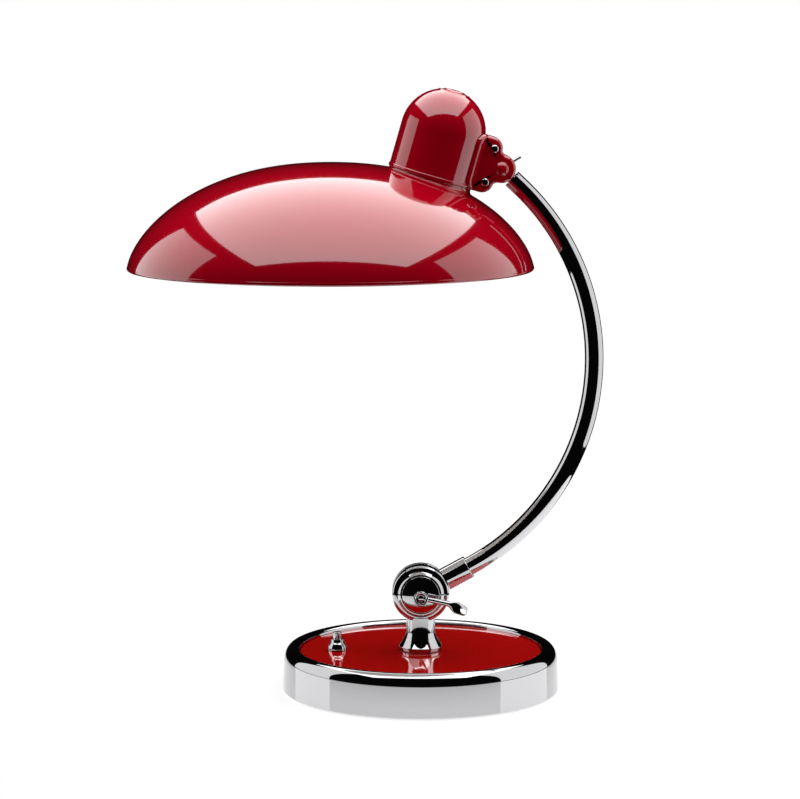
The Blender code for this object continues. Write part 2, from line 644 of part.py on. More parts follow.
def lever_rings():
    """Eight-sided sections along the lever: a narrow arm, then a flat paddle that twists."""
    level = LEVER_FACE - LEVER_FROM_FRONT
    arm = Vector((math.cos(LEVER_ARM_ANGLE), math.sin(LEVER_ARM_ANGLE), 0))
    paddle = Vector((math.cos(LEVER_PADDLE_ANGLE), math.sin(LEVER_PADDLE_ANGLE), 0))
    start = Vector((0, 0, level)) + arm * LEVER_HUB_RADIUS * LEVER_ARM_START
    elbow = Vector((0, 0, level)) + arm * LEVER_ARM_LENGTH
    stations = [(start, arm, 0, 0), (elbow, arm, 0, 0)]
    steps = 6
    for step in range(1, steps + 1):
        share = step / steps
        stations.append((elbow + paddle * LEVER_PADDLE_LENGTH * share, paddle, share, min(1, 2 * share)))
    rings = []
    for centre, along, share, grown in stations:
        twist = LEVER_TWIST * share
        across = Vector((-along.y, along.x, 0))
        wide = across * math.cos(twist) + Vector((0, 0, 1)) * math.sin(twist)
        thin = along.cross(wide)
        taper = 1 - LEVER_TAPER * max(0, share - LEVER_TAPER_FROM) / (1 - LEVER_TAPER_FROM)
        half_wide = (LEVER_ARM_WIDTH + (LEVER_PADDLE_WIDTH - LEVER_ARM_WIDTH) * grown) / 2 * taper
        half_thin = (LEVER_ARM_DEPTH + (LEVER_PADDLE_SHEET - LEVER_ARM_DEPTH) * grown) / 2
        ring = []
        for side in range(8):
            angle = 2 * math.pi * (side + 0.5) / 8
            reach = wide * half_wide * math.cos(angle) + thin * half_thin * math.sin(angle)
            ring.append(centre + reach / math.cos(math.pi / 8))
        rings.append(ring)
    return rings


def make_knuckle(knuckle, bolt_hole):
    face = KNUCKLE_FACE
    clear = BOLT_RADIUS + FIT
    back = -face - GAP
    bolt = [(0, LEVER_FACE - BOLT_SINK), (BOLT_RADIUS, LEVER_FACE - BOLT_SINK), (BOLT_RADIUS, back)]
    bolt += [(BOLT_HEAD_RADIUS, back), (BOLT_HEAD_RADIUS, back - BOLT_HEAD_HEIGHT / 2)]
    bolt += [(BOLT_HEAD_RADIUS * BOLT_HEAD_TAPER, back - BOLT_HEAD_HEIGHT), (0, back - BOLT_HEAD_HEIGHT)]
    piece("knuckle_bolt", turned("knuckle_bolt", bolt, SMALL), "chrome", knuckle)
    soft = RING_HEIGHT / 2
    middle = (RING_RADIUS - soft, face + GAP + soft)
    ring = [(DISH_RADIUS + GAP, face + GAP + RING_HEIGHT)] + arc(middle, (soft, soft), 90, -90, 4)
    ring += [(DISH_RADIUS + GAP, face + GAP)]
    piece("knuckle_ring", turned("knuckle_ring", ring, ROUND), "chrome", knuckle)
    dome = arc((0, face + GAP + DISH_EDGE), (DISH_RADIUS, DISH_HEIGHT - DISH_EDGE), 0, 90, 5)
    dish = [(clear, face + GAP + DISH_HEIGHT)]
    dish += [point for point in reversed(dome) if point[0] > clear * 1.1]
    dish += [(DISH_RADIUS, face + GAP), (clear, face + GAP)]
    piece("knuckle_dish", turned("knuckle_dish", dish, ROUND), "chrome", knuckle)

    for side, sign in (("front", 1), ("rear", -1)):
        near = sign * (TONGUE_WIDTH / 2 + GAP)
        far = sign * (TONGUE_WIDTH / 2 + GAP + FRICTION_SHEET)
        name = f"friction_washer_{side}"
        disc = tube(name, FRICTION_RADIUS, clear, min(near, far), max(near, far), SMALL)
        piece(name, disc, "fibre", knuckle)

    soft = LEVER_HUB_ROUND
    hub_top = arc((LEVER_HUB_RADIUS - soft, LEVER_FACE - soft), (soft, soft), 90, 0, 2)
    hub = [(0, LEVER_FACE)] + hub_top + [(LEVER_HUB_RADIUS, LEVER_FOOT), (0, LEVER_FOOT)]
    lever = piece("wing_lever", turned("wing_lever", hub, SMALL), "chrome", knuckle)
    join(lever, cutter("add_lever_arm", swept("lever_arm", lever_rings()), knuckle))
    cut(lever, bolt_hole)

# ---------------------------------------------------------------- arm


def arm_points(first, last, bend_steps=18):
    """Centres along the arm: first is a distance from the knuckle, last a distance short of the ball."""
    rise = (BEND_START - KNUCKLE).normalized()
    points = [(KNUCKLE + rise * first, rise)]
    sweep = ARM_SWEEP - max(0, last - ARM_TAIL) / ARM_BEND_RADIUS
    for step in range(bend_steps + 1):
        angle = ARM_RISE + sweep * step / bend_steps
        along = Vector((math.cos(angle), 0, math.sin(angle)))
        out = Vector((along.z, 0, -along.x))
        points.append((BEND_CENTRE + out * ARM_BEND_RADIUS, along))
    if last < ARM_TAIL:
        points.append((BALL - ARM_UP * last, ARM_UP))
    return points


def arm_rings(points, radius, origin, sides):
    rings = []
    for centre, along in points:
        side_axis = Vector((0, 1, 0))
        up_axis = side_axis.cross(along)
        ring = []
        for side in range(sides):
            angle = 2 * math.pi * side / sides
            reach = side_axis * math.cos(angle) + up_axis * math.sin(angle)
            ring.append(centre + reach * radius - origin)
        rings.append(ring)
    return rings


def make_arm(base):
    upright = Matrix.Translation(KNUCKLE)
    arm = empty("arm_pivot", upright, base)
    rise = (BEND_START - KNUCKLE).normalized()
    along_rise = turn_to(rise)
    on_axis = turn_to(FRONT)

    tip = ARM_STRAIGHT
    soft = FERRULE_ROUND
    seat = tip - FERRULE_SOCKET - GAP
    mouth = TUBE_RADIUS + GAP
    ferrule = [(0, seat), (mouth, seat), (mouth, tip)]
    ferrule += arc((FERRULE_RADIUS - soft, tip - soft), (soft, soft), 90, 0, 2)
    ferrule += [(FERRULE_RADIUS, TONGUE_NECK), (0, TONGUE_NECK)]
    tongue_radius = KNUCKLE_RADIUS - GAP
    half = TONGUE_WIDTH / 2
    casting = piece("arm_knuckle", turned("arm_knuckle", ferrule, ROUND), "chrome", arm, turn=along_rise)
    saddle = rod("saddle", KNUCKLE_RADIUS + SADDLE, -BASE_RADIUS, BASE_RADIUS, ROUND)
    cut(casting, cutter("cut_saddle", saddle, arm, turn=on_axis))
    join(casting, cutter("add_tongue", rod("tongue", tongue_radius, -half, half, ROUND), arm, turn=on_axis))
    neck_half = half - TONGUE_NECK_INSET
    neck_low = (-TONGUE_NECK / 2, -neck_half, TONGUE_NECK)
    neck_high = (TONGUE_NECK / 2, neck_half, KNUCKLE_RADIUS + SADDLE + half)
    neck = block("tongue_neck", neck_low, neck_high)
    neck_turn = frame_matrix(Vector(), rise.cross(FRONT), rise).to_euler()
    join(casting, cutter("add_tongue_neck", neck, arm, turn=neck_turn))
    tongue_bolt = rod("tongue_bolt", BOLT_RADIUS + FIT, -half * 2, half * 2)
    cut(casting, cutter("cut_tongue_bolt", tongue_bolt, arm, turn=on_axis))

    tube_start = tip - FERRULE_SOCKET
    outer = arm_rings(arm_points(tube_start, TUBE_END_GAP), TUBE_RADIUS, KNUCKLE, SMALL)
    inner = arm_rings(arm_points(tube_start, TUBE_END_GAP), TUBE_RADIUS - TUBE_WALL, KNUCKLE, SMALL)
    piece("arm_tube", swept("arm_tube", outer + inner[::-1], hollow=True), "chrome", arm)
    bush_end = TUBE_END_GAP + BUSH_LENGTH
    shank_end = bush_end + STUD_PAST_BUSH
    lead = arm_rings(arm_points(tube_start + GAP, shank_end + 4 * GAP, 14), LEAD_RADIUS, KNUCKLE, 8)
    piece("arm_lead", swept("arm_lead", lead), "black", arm)

    ball_joint = empty("ball_swivel", frame_matrix(BALL, Vector((0, 1, 0)).cross(-ARM_UP), -ARM_UP), arm)
    bush_bore = BALL_SHANK_RADIUS + FIT
    bush_radius = TUBE_RADIUS - TUBE_WALL - GAP
    bush_start = TUBE_END_GAP + GAP
    bush = tube("tube_bush", bush_radius, bush_bore, bush_start, bush_end, SMALL)
    piece("tube_bush", bush, "brass", ball_joint)
    steps = ROUND // 2
    meets = math.degrees(math.asin(BALL_SHANK_RADIUS / BALL_RADIUS))
    stud = arc((0, 0), (BALL_RADIUS, BALL_RADIUS), -90, 90 - meets, steps)
    stud = [(max(0, radius), height) for radius, height in stud]
    stud += [(BALL_SHANK_RADIUS, shank_end), (0, shank_end)]
    piece("ball_stud", turned("ball_stud", stud, ROUND), "chrome", ball_joint)
    return ball_joint

# ---------------------------------------------------------------- shade


def make_shade(neck):
    steps = 12
    turns = [math.pi / 2 * (steps - step) / steps for step in range(steps)]
    outline = [shade_curve(SHADE_RADIUS, SHADE_HEIGHT, turn) for turn in turns]
    outline[0] = (0, SHADE_HEIGHT)
    hollow_radius = SHADE_RADIUS - SHADE_WALL
    hollow_height = SHADE_HEIGHT - SHADE_WALL
    hollow = [shade_curve(hollow_radius, hollow_height, turn) for turn in turns]
    hollow[0] = (0, hollow_height)
    bead = SHADE_RIM_BEAD
    skirt = outline[-1][1]
    body = outline + arc((SHADE_RADIUS - bead, bead), (bead, bead), 0, -90, 4) + [(0, 0)]
    mouth = SHADE_RADIUS - 2 * bead
    opening = hollow + [(mouth, min(skirt, 2 * bead)), (mouth, -bead), (0, -bead)]
    upright = empty("shade_axis", Matrix.Translation(RIM), neck)
    dome = piece("shade_dome", turned("shade_dome", body, FINE), "lacquer", upright)
    join(dome, cutter("add_collar", rod("collar", NECK_RADIUS, -COLLAR_REACH, -GAP, ROUND), neck))
    cut(dome, cutter("cut_shade_hollow", turned("shade_hollow", opening, FINE), upright))
    neck_bore = rod("neck_bore", CAP_INSIDE, -2 * COLLAR_REACH, 2 * CAP_STRAIGHT, ROUND)
    cut(dome, cutter("cut_neck_bore", neck_bore, neck))

    lip = NECK_RADIUS + CAP_LIP
    cap = arc((0, CAP_STRAIGHT), (NECK_RADIUS, NECK_RADIUS), 90, 0, 6)
    cap += [(NECK_RADIUS, CAP_LIP_HEIGHT + CAP_LIP), (lip, CAP_LIP_HEIGHT), (lip, CAP_LIP)]
    cap += [(NECK_RADIUS, 0), (CAP_INSIDE, 0)] + arc((0, CAP_STRAIGHT), (CAP_INSIDE, CAP_INSIDE), 0, 90, 6)
    cap[0] = (0, CAP_STRAIGHT + NECK_RADIUS)
    cap[-1] = (0, CAP_STRAIGHT + CAP_INSIDE)
    socket_cap = piece("socket_cap", turned("socket_cap", cap, ROUND), "lacquer", neck)
    ring_radius = CAP_INSIDE - GAP
    reach = NECK_RING_REACH
    ring = tube("neck_ring", ring_radius, ring_radius - NECK_RING_WALL, -reach, reach, ROUND)
    piece("neck_ring", ring, "zinc", neck)
    return socket_cap


def make_holder(neck):
    over = BRIDGE_UP + BRIDGE_SHEET
    half = BRIDGE_WIDTH / 2
    span = CAP_INSIDE
    strap_mesh = block("holder_bridge", (-half, -span, BRIDGE_UP - BRIDGE_EAR), (half, span, over))
    strap = piece("holder_bridge", strap_mesh, "zinc", neck)
    inside = span - 2 * BRIDGE_SHEET
    under = block("bridge_under", (-2 * half, -inside, -span), (2 * half, inside, BRIDGE_UP))
    cut(strap, cutter("cut_bridge_under", under, neck))
    in_cap = rod("in_cap", CAP_INSIDE - GAP, -span, 2 * span, ROUND)
    boolean(strap, cutter("keep_in_cap", in_cap, neck), "INTERSECT")
    nipple_rod = rod("nipple_hole", NIPPLE_RADIUS + FIT, 0, 2 * span, SMALL)
    cut(strap, cutter("cut_nipple_hole", nipple_rod, neck))
    nipple_low = HOLDER_TOP - NIPPLE_BELOW
    nipple = tube("holder_nipple", NIPPLE_RADIUS, NIPPLE_BORE, nipple_low, over + NIPPLE_ABOVE, SMALL)
    piece("holder_nipple", nipple, "brass", neck)
    nut_top = over + GAP + HOLDER_NUT_HEIGHT
    nut = hexagon("holder_nut", HOLDER_NUT_RADIUS, NIPPLE_RADIUS + FIT, over + GAP, nut_top)
    piece("holder_nut", nut, "brass", neck)

    bore = SHELL_RADIUS + FIT
    floor = HOLDER_MOUTH + HOLDER_BORE_DEPTH
    hole = NIPPLE_RADIUS + FIT
    soft = HOLDER_ROUND
    cup = [(hole, HOLDER_TOP)] + arc((HOLDER_RADIUS - soft, HOLDER_TOP - soft), (soft, soft), 90, 0, 3)
    cup += arc((HOLDER_RADIUS - soft, HOLDER_MOUTH + soft), (soft, soft), 0, -90, 3)
    cup += [(bore, HOLDER_MOUTH), (bore, floor), (hole, floor)]
    piece("lamp_holder", turned("lamp_holder", cup, ROUND), "porcelain", neck)
    shell_low = HOLDER_MOUTH + 2 * SHELL_SHEET
    shell_high = floor - GAP
    inner = SHELL_RADIUS - SHELL_SHEET
    shell = [(0, shell_high), (SHELL_RADIUS, shell_high), (SHELL_RADIUS, shell_low), (inner, shell_low)]
    shell += [(inner, shell_high - SHELL_SHEET), (0, shell_high - SHELL_SHEET)]
    piece("holder_shell", turned("holder_shell", shell, SMALL), "brass", neck)

    top = BULB_CAP_TOP - GAP
    foot = top - BULB_CAP_LENGTH
    tip = BULB_CAP_RADIUS * 0.4
    bulb_cap = [(0, top), (tip, top), (BULB_CAP_RADIUS, top - tip), (BULB_CAP_RADIUS, foot), (0, foot)]
    piece("bulb_cap", turned("bulb_cap", bulb_cap, SMALL), "zinc", neck)
    glass_top = foot - GAP
    centre = glass_top - BULB_LENGTH + BULB_RADIUS
    join_angle = math.degrees(math.acos(BULB_NECK / BULB_RADIUS)) - 8
    glass = [(0, glass_top), (BULB_NECK, glass_top)]
    glass += arc((0, centre), (BULB_RADIUS, BULB_RADIUS), join_angle, -90, 9)
    glass[-1] = (0, centre - BULB_RADIUS)
    piece("bulb_glass", turned("bulb_glass", glass, ROUND), "opal", neck)

# ---------------------------------------------------------------- bracket


def bracket_outline():
    """Bracket seen from the front, X out from the neck and Y along it, the ball at the origin."""
    back = -(BALL_OUT - NECK_RADIUS) - BRACKET_FLANGE_SHEET
    lobe = (-BRACKET_SCREW_BACK - BRACKET_LOBE_BACK, BRACKET_HALF_LENGTH - BRACKET_SHOULDER)
    outline = [(back, -BRACKET_HALF_LENGTH)]
    outline += arc((lobe[0], -lobe[1]), (BRACKET_SHOULDER, BRACKET_SHOULDER), -90, -28, 5)
    outline += arc((0, 0), (BRACKET_NOSE, BRACKET_NOSE), -78, 78, 12)
    outline += arc(lobe, (BRACKET_SHOULDER, BRACKET_SHOULDER), 28, 90, 5)
    outline += [(back, BRACKET_HALF_LENGTH)]
    return outline


def slot_outline():
    """The sector that the shank sweeps as the shade tilts."""
    shank = math.atan2(-ARM_UP.dot(NECK_AXIS), -ARM_UP.dot(NECK_OUT))
    reach = 2 * BRACKET_NOSE
    margin = math.asin((BALL_SHANK_RADIUS + BRACKET_CHEEK_CLEAR) / BALL_RADIUS)
    low = math.degrees(shank - SHADE_NOSE_DOWN - margin)
    high = math.degrees(shank + SHADE_NOSE_UP + margin)
    return [(0, 0)] + arc((0, 0), (reach, reach), low, high, 8)


def make_bracket(neck, socket_cap):
    tilt = empty("shade_pivot", frame_matrix(BALL, NECK_OUT, FRONT), neck)
    half = BRACKET_HALF_WIDTH
    clear = cutter("cut_ball", ball("ball_room", BALL_RADIUS + BALL_ROOM, ROUND), tilt)
    cheek = BALL_SHANK_RADIUS + BRACKET_CHEEK_CLEAR
    slot = cutter("cut_slot", prism("slot", slot_outline(), -cheek, cheek), tilt)
    round_the_neck = NECK_RADIUS + GAP
    over_lip = NECK_RADIUS + CAP_LIP + GAP
    lip_top = CAP_LIP_HEIGHT + CAP_LIP
    neck_profile = [(0, CAP_STRAIGHT * 2), (round_the_neck, CAP_STRAIGHT * 2)]
    neck_profile += [(round_the_neck, lip_top + CAP_LIP)]
    neck_profile += [(over_lip, lip_top), (over_lip, -COLLAR_REACH), (0, -COLLAR_REACH)]
    neck_room = cutter("cut_neck_room", turned("neck_room", neck_profile, ROUND), neck)
    tension_way = Vector((math.cos(TENSION_ANGLE), math.sin(TENSION_ANGLE), 0))
    tension_hole = rod("tension_hole", TENSION_RADIUS + FIT, 0, 2 * BRACKET_NOSE, TINY)
    tension_cut = cutter("cut_tension", tension_hole, tilt, turn=turn_to(tension_way))
    screw_cuts = []
    for level, sign in (("upper", 1), ("lower", -1)):
        at = (-BRACKET_SCREW_BACK, sign * BRACKET_SCREW_SPREAD, 0)
        hole = rod(f"bracket_hole_{level}", BRACKET_SCREW_RADIUS + FIT, -2 * half, 2 * half, TINY)
        screw_cuts.append(cutter(f"cut_bracket_{level}", hole, tilt, at))
    flange_at = -(BALL_OUT - NECK_RADIUS)
    flange_outside = NECK_RADIUS + BRACKET_FLANGE_SHEET + GAP
    flange_ring = tube("flange_ring", flange_outside, NECK_RADIUS, -NECK_RADIUS, 2 * NECK_RADIUS)
    side = BRACKET_FLANGE_HALF
    reach = BRACKET_HALF_LENGTH
    soft = BRACKET_SHOULDER
    oval = arc((side - soft, reach - soft), (soft, soft), 0, 90, 4)
    oval += arc((soft - side, reach - soft), (soft, soft), 90, 180, 4)
    oval += arc((soft - side, soft - reach), (soft, soft), 180, 270, 4)
    oval += arc((side - soft, soft - reach), (soft, soft), 270, 360, 4)
    outward = frame_matrix(Vector(), Vector((0, 0, -1)), Vector((1, 0, 0))).to_euler()
    for where, sign in (("front", 1), ("rear", -1)):
        near = BRACKET_SPLIT / 2
        name = f"bracket_{where}"
        body = prism(name, bracket_outline(), min(sign * near, sign * half), max(sign * near, sign * half))
        half_body = piece(name, body, "lacquer", tilt)
        bevel = half_body.modifiers.new("soft_edges", "BEVEL")
        bevel.width = BRACKET_ROUND
        bevel.segments = 2
        bevel.limit_method = "WEIGHT"
        weights = half_body.data.attributes.new("bevel_weight_edge", "FLOAT", "EDGE")
        for edge in half_body.data.edges:
            ends = [half_body.data.vertices[index].co for index in edge.vertices]
            on_face = all(abs(end.z - sign * half) < GAP / 2 for end in ends)
            at_back = all(end.x < flange_at for end in ends)
            weights.data[edge.index].value = 1.0 if on_face and not at_back else 0.0
        bulge = ball(f"bulge_{where}", BRACKET_BULGE, SMALL)
        bulge_at = (0, 0, sign * (half + BRACKET_BULGE_PROUD - BRACKET_BULGE))
        join(half_body, cutter(f"add_bulge_{where}", bulge, tilt, bulge_at))
        saddle = cutter(f"add_flange_{where}", flange_ring.copy(), neck)
        window = prism(f"flange_window_{where}", oval, 0, 2 * NECK_RADIUS)
        window_cut = cutter(f"keep_window_{where}", window, neck, (0, 0, BALL_UP), outward)
        across = sorted((-sign * near, -sign * BASE_RADIUS))
        halves = block(f"half_{where}", (0, across[0], -1), (1, across[1], 1))
        halves_cut = cutter(f"keep_half_{where}", halves, neck)
        boolean(saddle, window_cut, "INTERSECT")
        boolean(saddle, halves_cut, "INTERSECT")
        join(half_body, saddle)
        cut(half_body, neck_room, clear, slot, tension_cut, *screw_cuts)
        flange_y = -sign * FLANGE_SCREW_SIDE
        drill_end = FLANGE_SCREW_LENGTH + 2 * GAP
        drill = rod(f"flange_drill_{where}", FLANGE_SCREW_RADIUS + FIT, 0, drill_end, TINY)
        base_of_head = math.sqrt(CAP_INSIDE**2 - (FLANGE_SCREW_SIDE + FLANGE_SCREW_HEAD) ** 2) - GAP
        drill_cut = cutter(f"cut_flange_{where}", drill, neck, (base_of_head, flange_y, BALL_UP), outward)
        cut(half_body, drill_cut)
        cut(socket_cap, drill_cut)
        tip, head = FLANGE_SCREW_LENGTH, -FLANGE_SCREW_HEAD_HEIGHT
        screw = [(0, tip), (FLANGE_SCREW_RADIUS, tip), (FLANGE_SCREW_RADIUS, 0)]
        screw += [(FLANGE_SCREW_HEAD, 0), (FLANGE_SCREW_HEAD, head), (0, head)]
        screw_name = f"flange_screw_{where}"
        screw_mesh = turned(screw_name, screw, TINY)
        piece(screw_name, screw_mesh, "zinc", neck, (base_of_head, flange_y, BALL_UP), outward)

    for level, sign in (("upper", 1), ("lower", -1)):
        at = (-BRACKET_SCREW_BACK, sign * BRACKET_SCREW_SPREAD, 0)
        seat = half + GAP
        nut_far = -seat - BRACKET_NUT_HEIGHT
        soft = BRACKET_HEAD_HEIGHT / 2
        screw = [(0, seat + BRACKET_HEAD_HEIGHT)]
        screw += arc((BRACKET_SCREW_HEAD - soft, seat + soft), (soft, soft), 90, 0, 3)
        screw += [(BRACKET_SCREW_HEAD, seat), (BRACKET_SCREW_RADIUS, seat)]
        screw += [(BRACKET_SCREW_RADIUS, nut_far - GAP), (0, nut_far - GAP)]
        name = f"bracket_screw_{level}"
        made = piece(name, turned(name, screw, SMALL), "chrome", tilt, at)
        wide = BRACKET_SCREW_HEAD * 2
        thin = BRACKET_HEAD_SLOT / 2
        top = seat + BRACKET_HEAD_HEIGHT
        groove = block(f"{name}_groove", (-wide, -thin, top - thin * 2), (wide, thin, top + wide))
        turn = (0, 0, math.radians(60) * sign)
        cut(made, cutter(f"cut_{name}_groove", groove, tilt, at, turn))
        nut_name = f"bracket_nut_{level}"
        nut = hexagon(nut_name, BRACKET_NUT_RADIUS, BRACKET_SCREW_RADIUS + FIT, nut_far, -seat)
        piece(nut_name, nut, "chrome", tilt, at)
    tension = rod("tension_screw", TENSION_RADIUS, BALL_RADIUS + GAP, TENSION_REACH, TINY)
    piece("tension_screw", tension, "chrome", tilt, turn=turn_to(tension_way))


def main():
    clear_scene()
    base = empty("base_frame", Matrix.Identity(4))
    make_base(base)
    knuckle, bolt_hole = make_stem(base)
    make_switch(base)
    make_knuckle(knuckle, bolt_hole)
    ball_joint = make_arm(base)
    neck = empty("neck_frame", frame_matrix(SEAM, NECK_OUT, NECK_AXIS), ball_joint)
    socket_cap = make_shade(neck)
    make_holder(neck)
    make_bracket(neck, socket_cap)


main()
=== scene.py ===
# %% [markdown]
# # A desk lamp: looks around a fixed frame
# The lamp stands on a weighted round base. A clamped knuckle holds a bent chrome tube, and the tube
# ends in a ball joint that carries a wide lacquered shade. The working model already fixes every size
# and joint, so this lesson only makes fine surfaces and finishes. Each piece is a surface that numpy
# works out as one array of points: that gives exact round shapes and clean normals, which matter
# because chrome and gloss lacquer show every dent.

# %% Load the working model
import json
import math

import bpy
import numpy as np
from mathutils import Matrix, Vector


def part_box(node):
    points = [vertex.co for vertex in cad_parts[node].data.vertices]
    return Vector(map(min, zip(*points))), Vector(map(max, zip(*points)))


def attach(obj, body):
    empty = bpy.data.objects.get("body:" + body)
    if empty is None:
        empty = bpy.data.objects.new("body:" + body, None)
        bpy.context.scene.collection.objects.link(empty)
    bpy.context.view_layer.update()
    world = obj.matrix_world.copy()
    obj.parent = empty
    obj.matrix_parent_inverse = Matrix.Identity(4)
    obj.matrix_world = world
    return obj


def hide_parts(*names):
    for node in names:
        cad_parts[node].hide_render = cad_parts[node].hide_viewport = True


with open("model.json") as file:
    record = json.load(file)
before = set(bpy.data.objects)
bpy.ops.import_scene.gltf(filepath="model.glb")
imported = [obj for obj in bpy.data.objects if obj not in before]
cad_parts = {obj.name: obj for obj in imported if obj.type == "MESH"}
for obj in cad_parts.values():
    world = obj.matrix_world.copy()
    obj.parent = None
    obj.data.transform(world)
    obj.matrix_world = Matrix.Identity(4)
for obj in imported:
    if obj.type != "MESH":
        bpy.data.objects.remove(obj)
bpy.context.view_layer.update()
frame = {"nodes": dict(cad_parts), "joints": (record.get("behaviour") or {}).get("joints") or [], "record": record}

joints = {joint["name"]: joint for joint in frame["joints"]}
knuckle = np.array(joints["arm_tilt"]["pos_m"], float)
ball = np.array(joints["shade_tilt"]["pos_m"], float)
arm_up = np.array(joints["shade_swivel"]["axis"], float)

# %% [markdown]
# ## From arrays to meshes
# Most pieces here are round, or are carried along a path. Either way they are a grid: rows of points,
# each row a closed loop. A row whose points all fall together is a pole. Blender's Screw and Curve
# tools make such shapes too, but a grid is easy to bend, to tilt and to measure, and it is always
# closed.

# %% Helpers that turn a grid of points into a closed mesh
def signed_volume(points, triangles):
    """Volume inside closed triangles: the sum of each triangle's tetrahedron to the origin, negative
    if inside out."""
    a, b, c = (points[triangles[:, corner]] for corner in range(3))
    return float(np.einsum("ij,ij->i", a, np.cross(b, c)).sum() / 6)


def shell(rows, ring=False):
    """Points and faces of a closed shell from rows (rows, columns, 3). Each row is a closed loop of
    points, and a row whose points fall together is a pole. With ring, the last row meets the
    first."""
    rows = np.asarray(rows, float)
    count, sides = rows.shape[:2]
    number = np.arange(count * sides).reshape(count, sides)
    poles = np.ptp(rows, axis=1).max(axis=1) < 1e-8
    number[poles] = number[poles][:, :1]
    upper, lower = number[:-1], number[1:]
    if ring:
        upper, lower = number, np.roll(number, -1, axis=0)
    quads = np.stack([upper, lower, np.roll(lower, -1, 1), np.roll(upper, -1, 1)], -1).reshape(-1, 4)
    points = rows.reshape(-1, 3)
    if signed_volume(points, np.concatenate([quads[:, [0, 1, 2]], quads[:, [0, 2, 3]]])) < 0:
        quads = quads[:, ::-1]
    used, index = np.unique(quads, return_inverse=True)
    quads = index.reshape(quads.shape)
    differ = (quads != np.roll(quads, -1, axis=1)).sum(axis=1)
    faces = quads[differ == 4].tolist()
    faces += [list(dict.fromkeys(face)) for face in quads[differ == 3].tolist()]
    return points[used], faces


def mesh_of(name, *shells, crease=38):
    """One mesh from several shells. Edges sharper than the crease angle stay crisp, and the rest
    shade smooth."""
    points, faces, start = [], [], 0
    for shell_points, shell_faces in shells:
        points.append(shell_points)
        faces += [[start + corner for corner in face] for face in shell_faces]
        start += len(shell_points)
    mesh = bpy.data.meshes.new(name)
    mesh.from_pydata(np.concatenate(points).tolist(), [], faces)
    mesh.shade_smooth()
    mesh.set_sharp_from_angle(angle=math.radians(crease))
    return mesh


def show(name, mesh, body, finish, slot, *nodes):
    """Links a mesh as a piece that rides on a body, and stands for the given nodes of the working
    model."""
    piece = bpy.data.objects.new(name, mesh)
    bpy.context.scene.collection.objects.link(piece)
    mesh.materials.append(finish)
    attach(piece, body)
    if nodes:
        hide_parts(*nodes)
    print(f"{name}: {len(mesh.polygons)} faces")
    return piece


def show_chrome(name, body, node, *shells, crease=38):
    """A chromed piece made of these shells, which stands for one node of the working model."""
    return show(name, mesh_of(name, *shells, crease=crease), body, chrome, "chrome_plate", node)


def arc(centre, radii, start, stop, steps):
    """Points (across, up) on an ellipse, from one angle in degrees to another."""
    angle = np.radians(np.linspace(start, stop, steps + 1))
    return np.stack([centre[0] + radii[0] * np.cos(angle), centre[1] + radii[1] * np.sin(angle)], -1)


def turned(profile, origin, axis, sides=128, across=(1, 0, 0)):
    """Rows for a profile of (radius, height) points carried round an axis: each point is the origin,
    plus its height along the axis, plus its radius along a unit vector that goes once round the
    axis."""
    axis = np.asarray(axis, float) / np.linalg.norm(axis)
    side = np.asarray(across, float) - axis * np.dot(across, axis)
    side = side / np.linalg.norm(side)
    other = np.cross(axis, side)
    angle = np.linspace(0, 2 * math.pi, sides, endpoint=False)
    round_axis = np.cos(angle)[:, None] * side + np.sin(angle)[:, None] * other
    profile = np.asarray(profile, float)
    return origin + profile[:, None, :1] * round_axis[None] + profile[:, None, 1:] * axis


def slab(outline, profile, fill=1):
    """Rows of (u, v, w) for a flat body with shaped edges. The outline is a closed loop of (u, v)
    points round the origin. Each (inset, w) of the profile moves it inwards by the inset, at depth w.
    Both faces close on the origin, in fill steps."""
    outline = np.asarray(outline, float)
    along = np.roll(outline, -1, 0) - np.roll(outline, 1, 0)
    along /= np.linalg.norm(along, axis=1)[:, None]
    inwards = np.stack([-along[:, 1], along[:, 0]], -1)
    rows = [np.c_[outline + inwards * inset, np.full(len(outline), w)] for inset, w in profile]
    closing = np.linspace(0, 1, fill + 1)
    first = [rows[0] * [share, share, 1] for share in closing[:-1]]
    last = [rows[-1] * [share, share, 1] for share in closing[:-1][::-1]]
    return np.array(first + rows + last)


def resampled(points, count):
    """The closed loop through these points, cut into equal lengths."""
    loop = np.concatenate([points, points[:1]])
    length = np.r_[0, np.cumsum(np.linalg.norm(np.diff(loop, axis=0), axis=1))]
    wanted = np.linspace(0, length[-1], count, endpoint=False)
    return np.stack([np.interp(wanted, length, loop[:, part]) for part in range(2)], -1)


# %% [markdown]
# ## Finishes
# Colours are written as sRGB hex values, the way a paint card or a colour picker gives them. Shaders
# want linear light, so one function converts them. Another adds a node with its settings and its links
# in one call, which keeps each finish short enough to read.

# %% Helpers for materials
def linear(hex_colour):
    """sRGB hex to linear RGBA: each channel c becomes c / 12.92 near black, or ((c + 0.055) / 1.055)
    to the 2.4."""
    channels = np.array([int(hex_colour[place : place + 2], 16) for place in (1, 3, 5)]) / 255
    light = np.where(channels <= 0.04045, channels / 12.92, ((channels + 0.055) / 1.055) ** 2.4)
    return (*light, 1.0)


def add_node(tree, kind, settings=None, **links):
    """Adds a node; settings are its properties or input values, links feed its inputs from (node,
    output) pairs."""
    node = tree.nodes.new(kind)
    for key, value in (settings or {}).items():
        if hasattr(node, key):
            setattr(node, key, value)
        else:
            node.inputs[key].default_value = value
    for key, (source, output) in links.items():
        tree.links.new(source.outputs[output], node.inputs[key.replace("_", " ")])
    return node


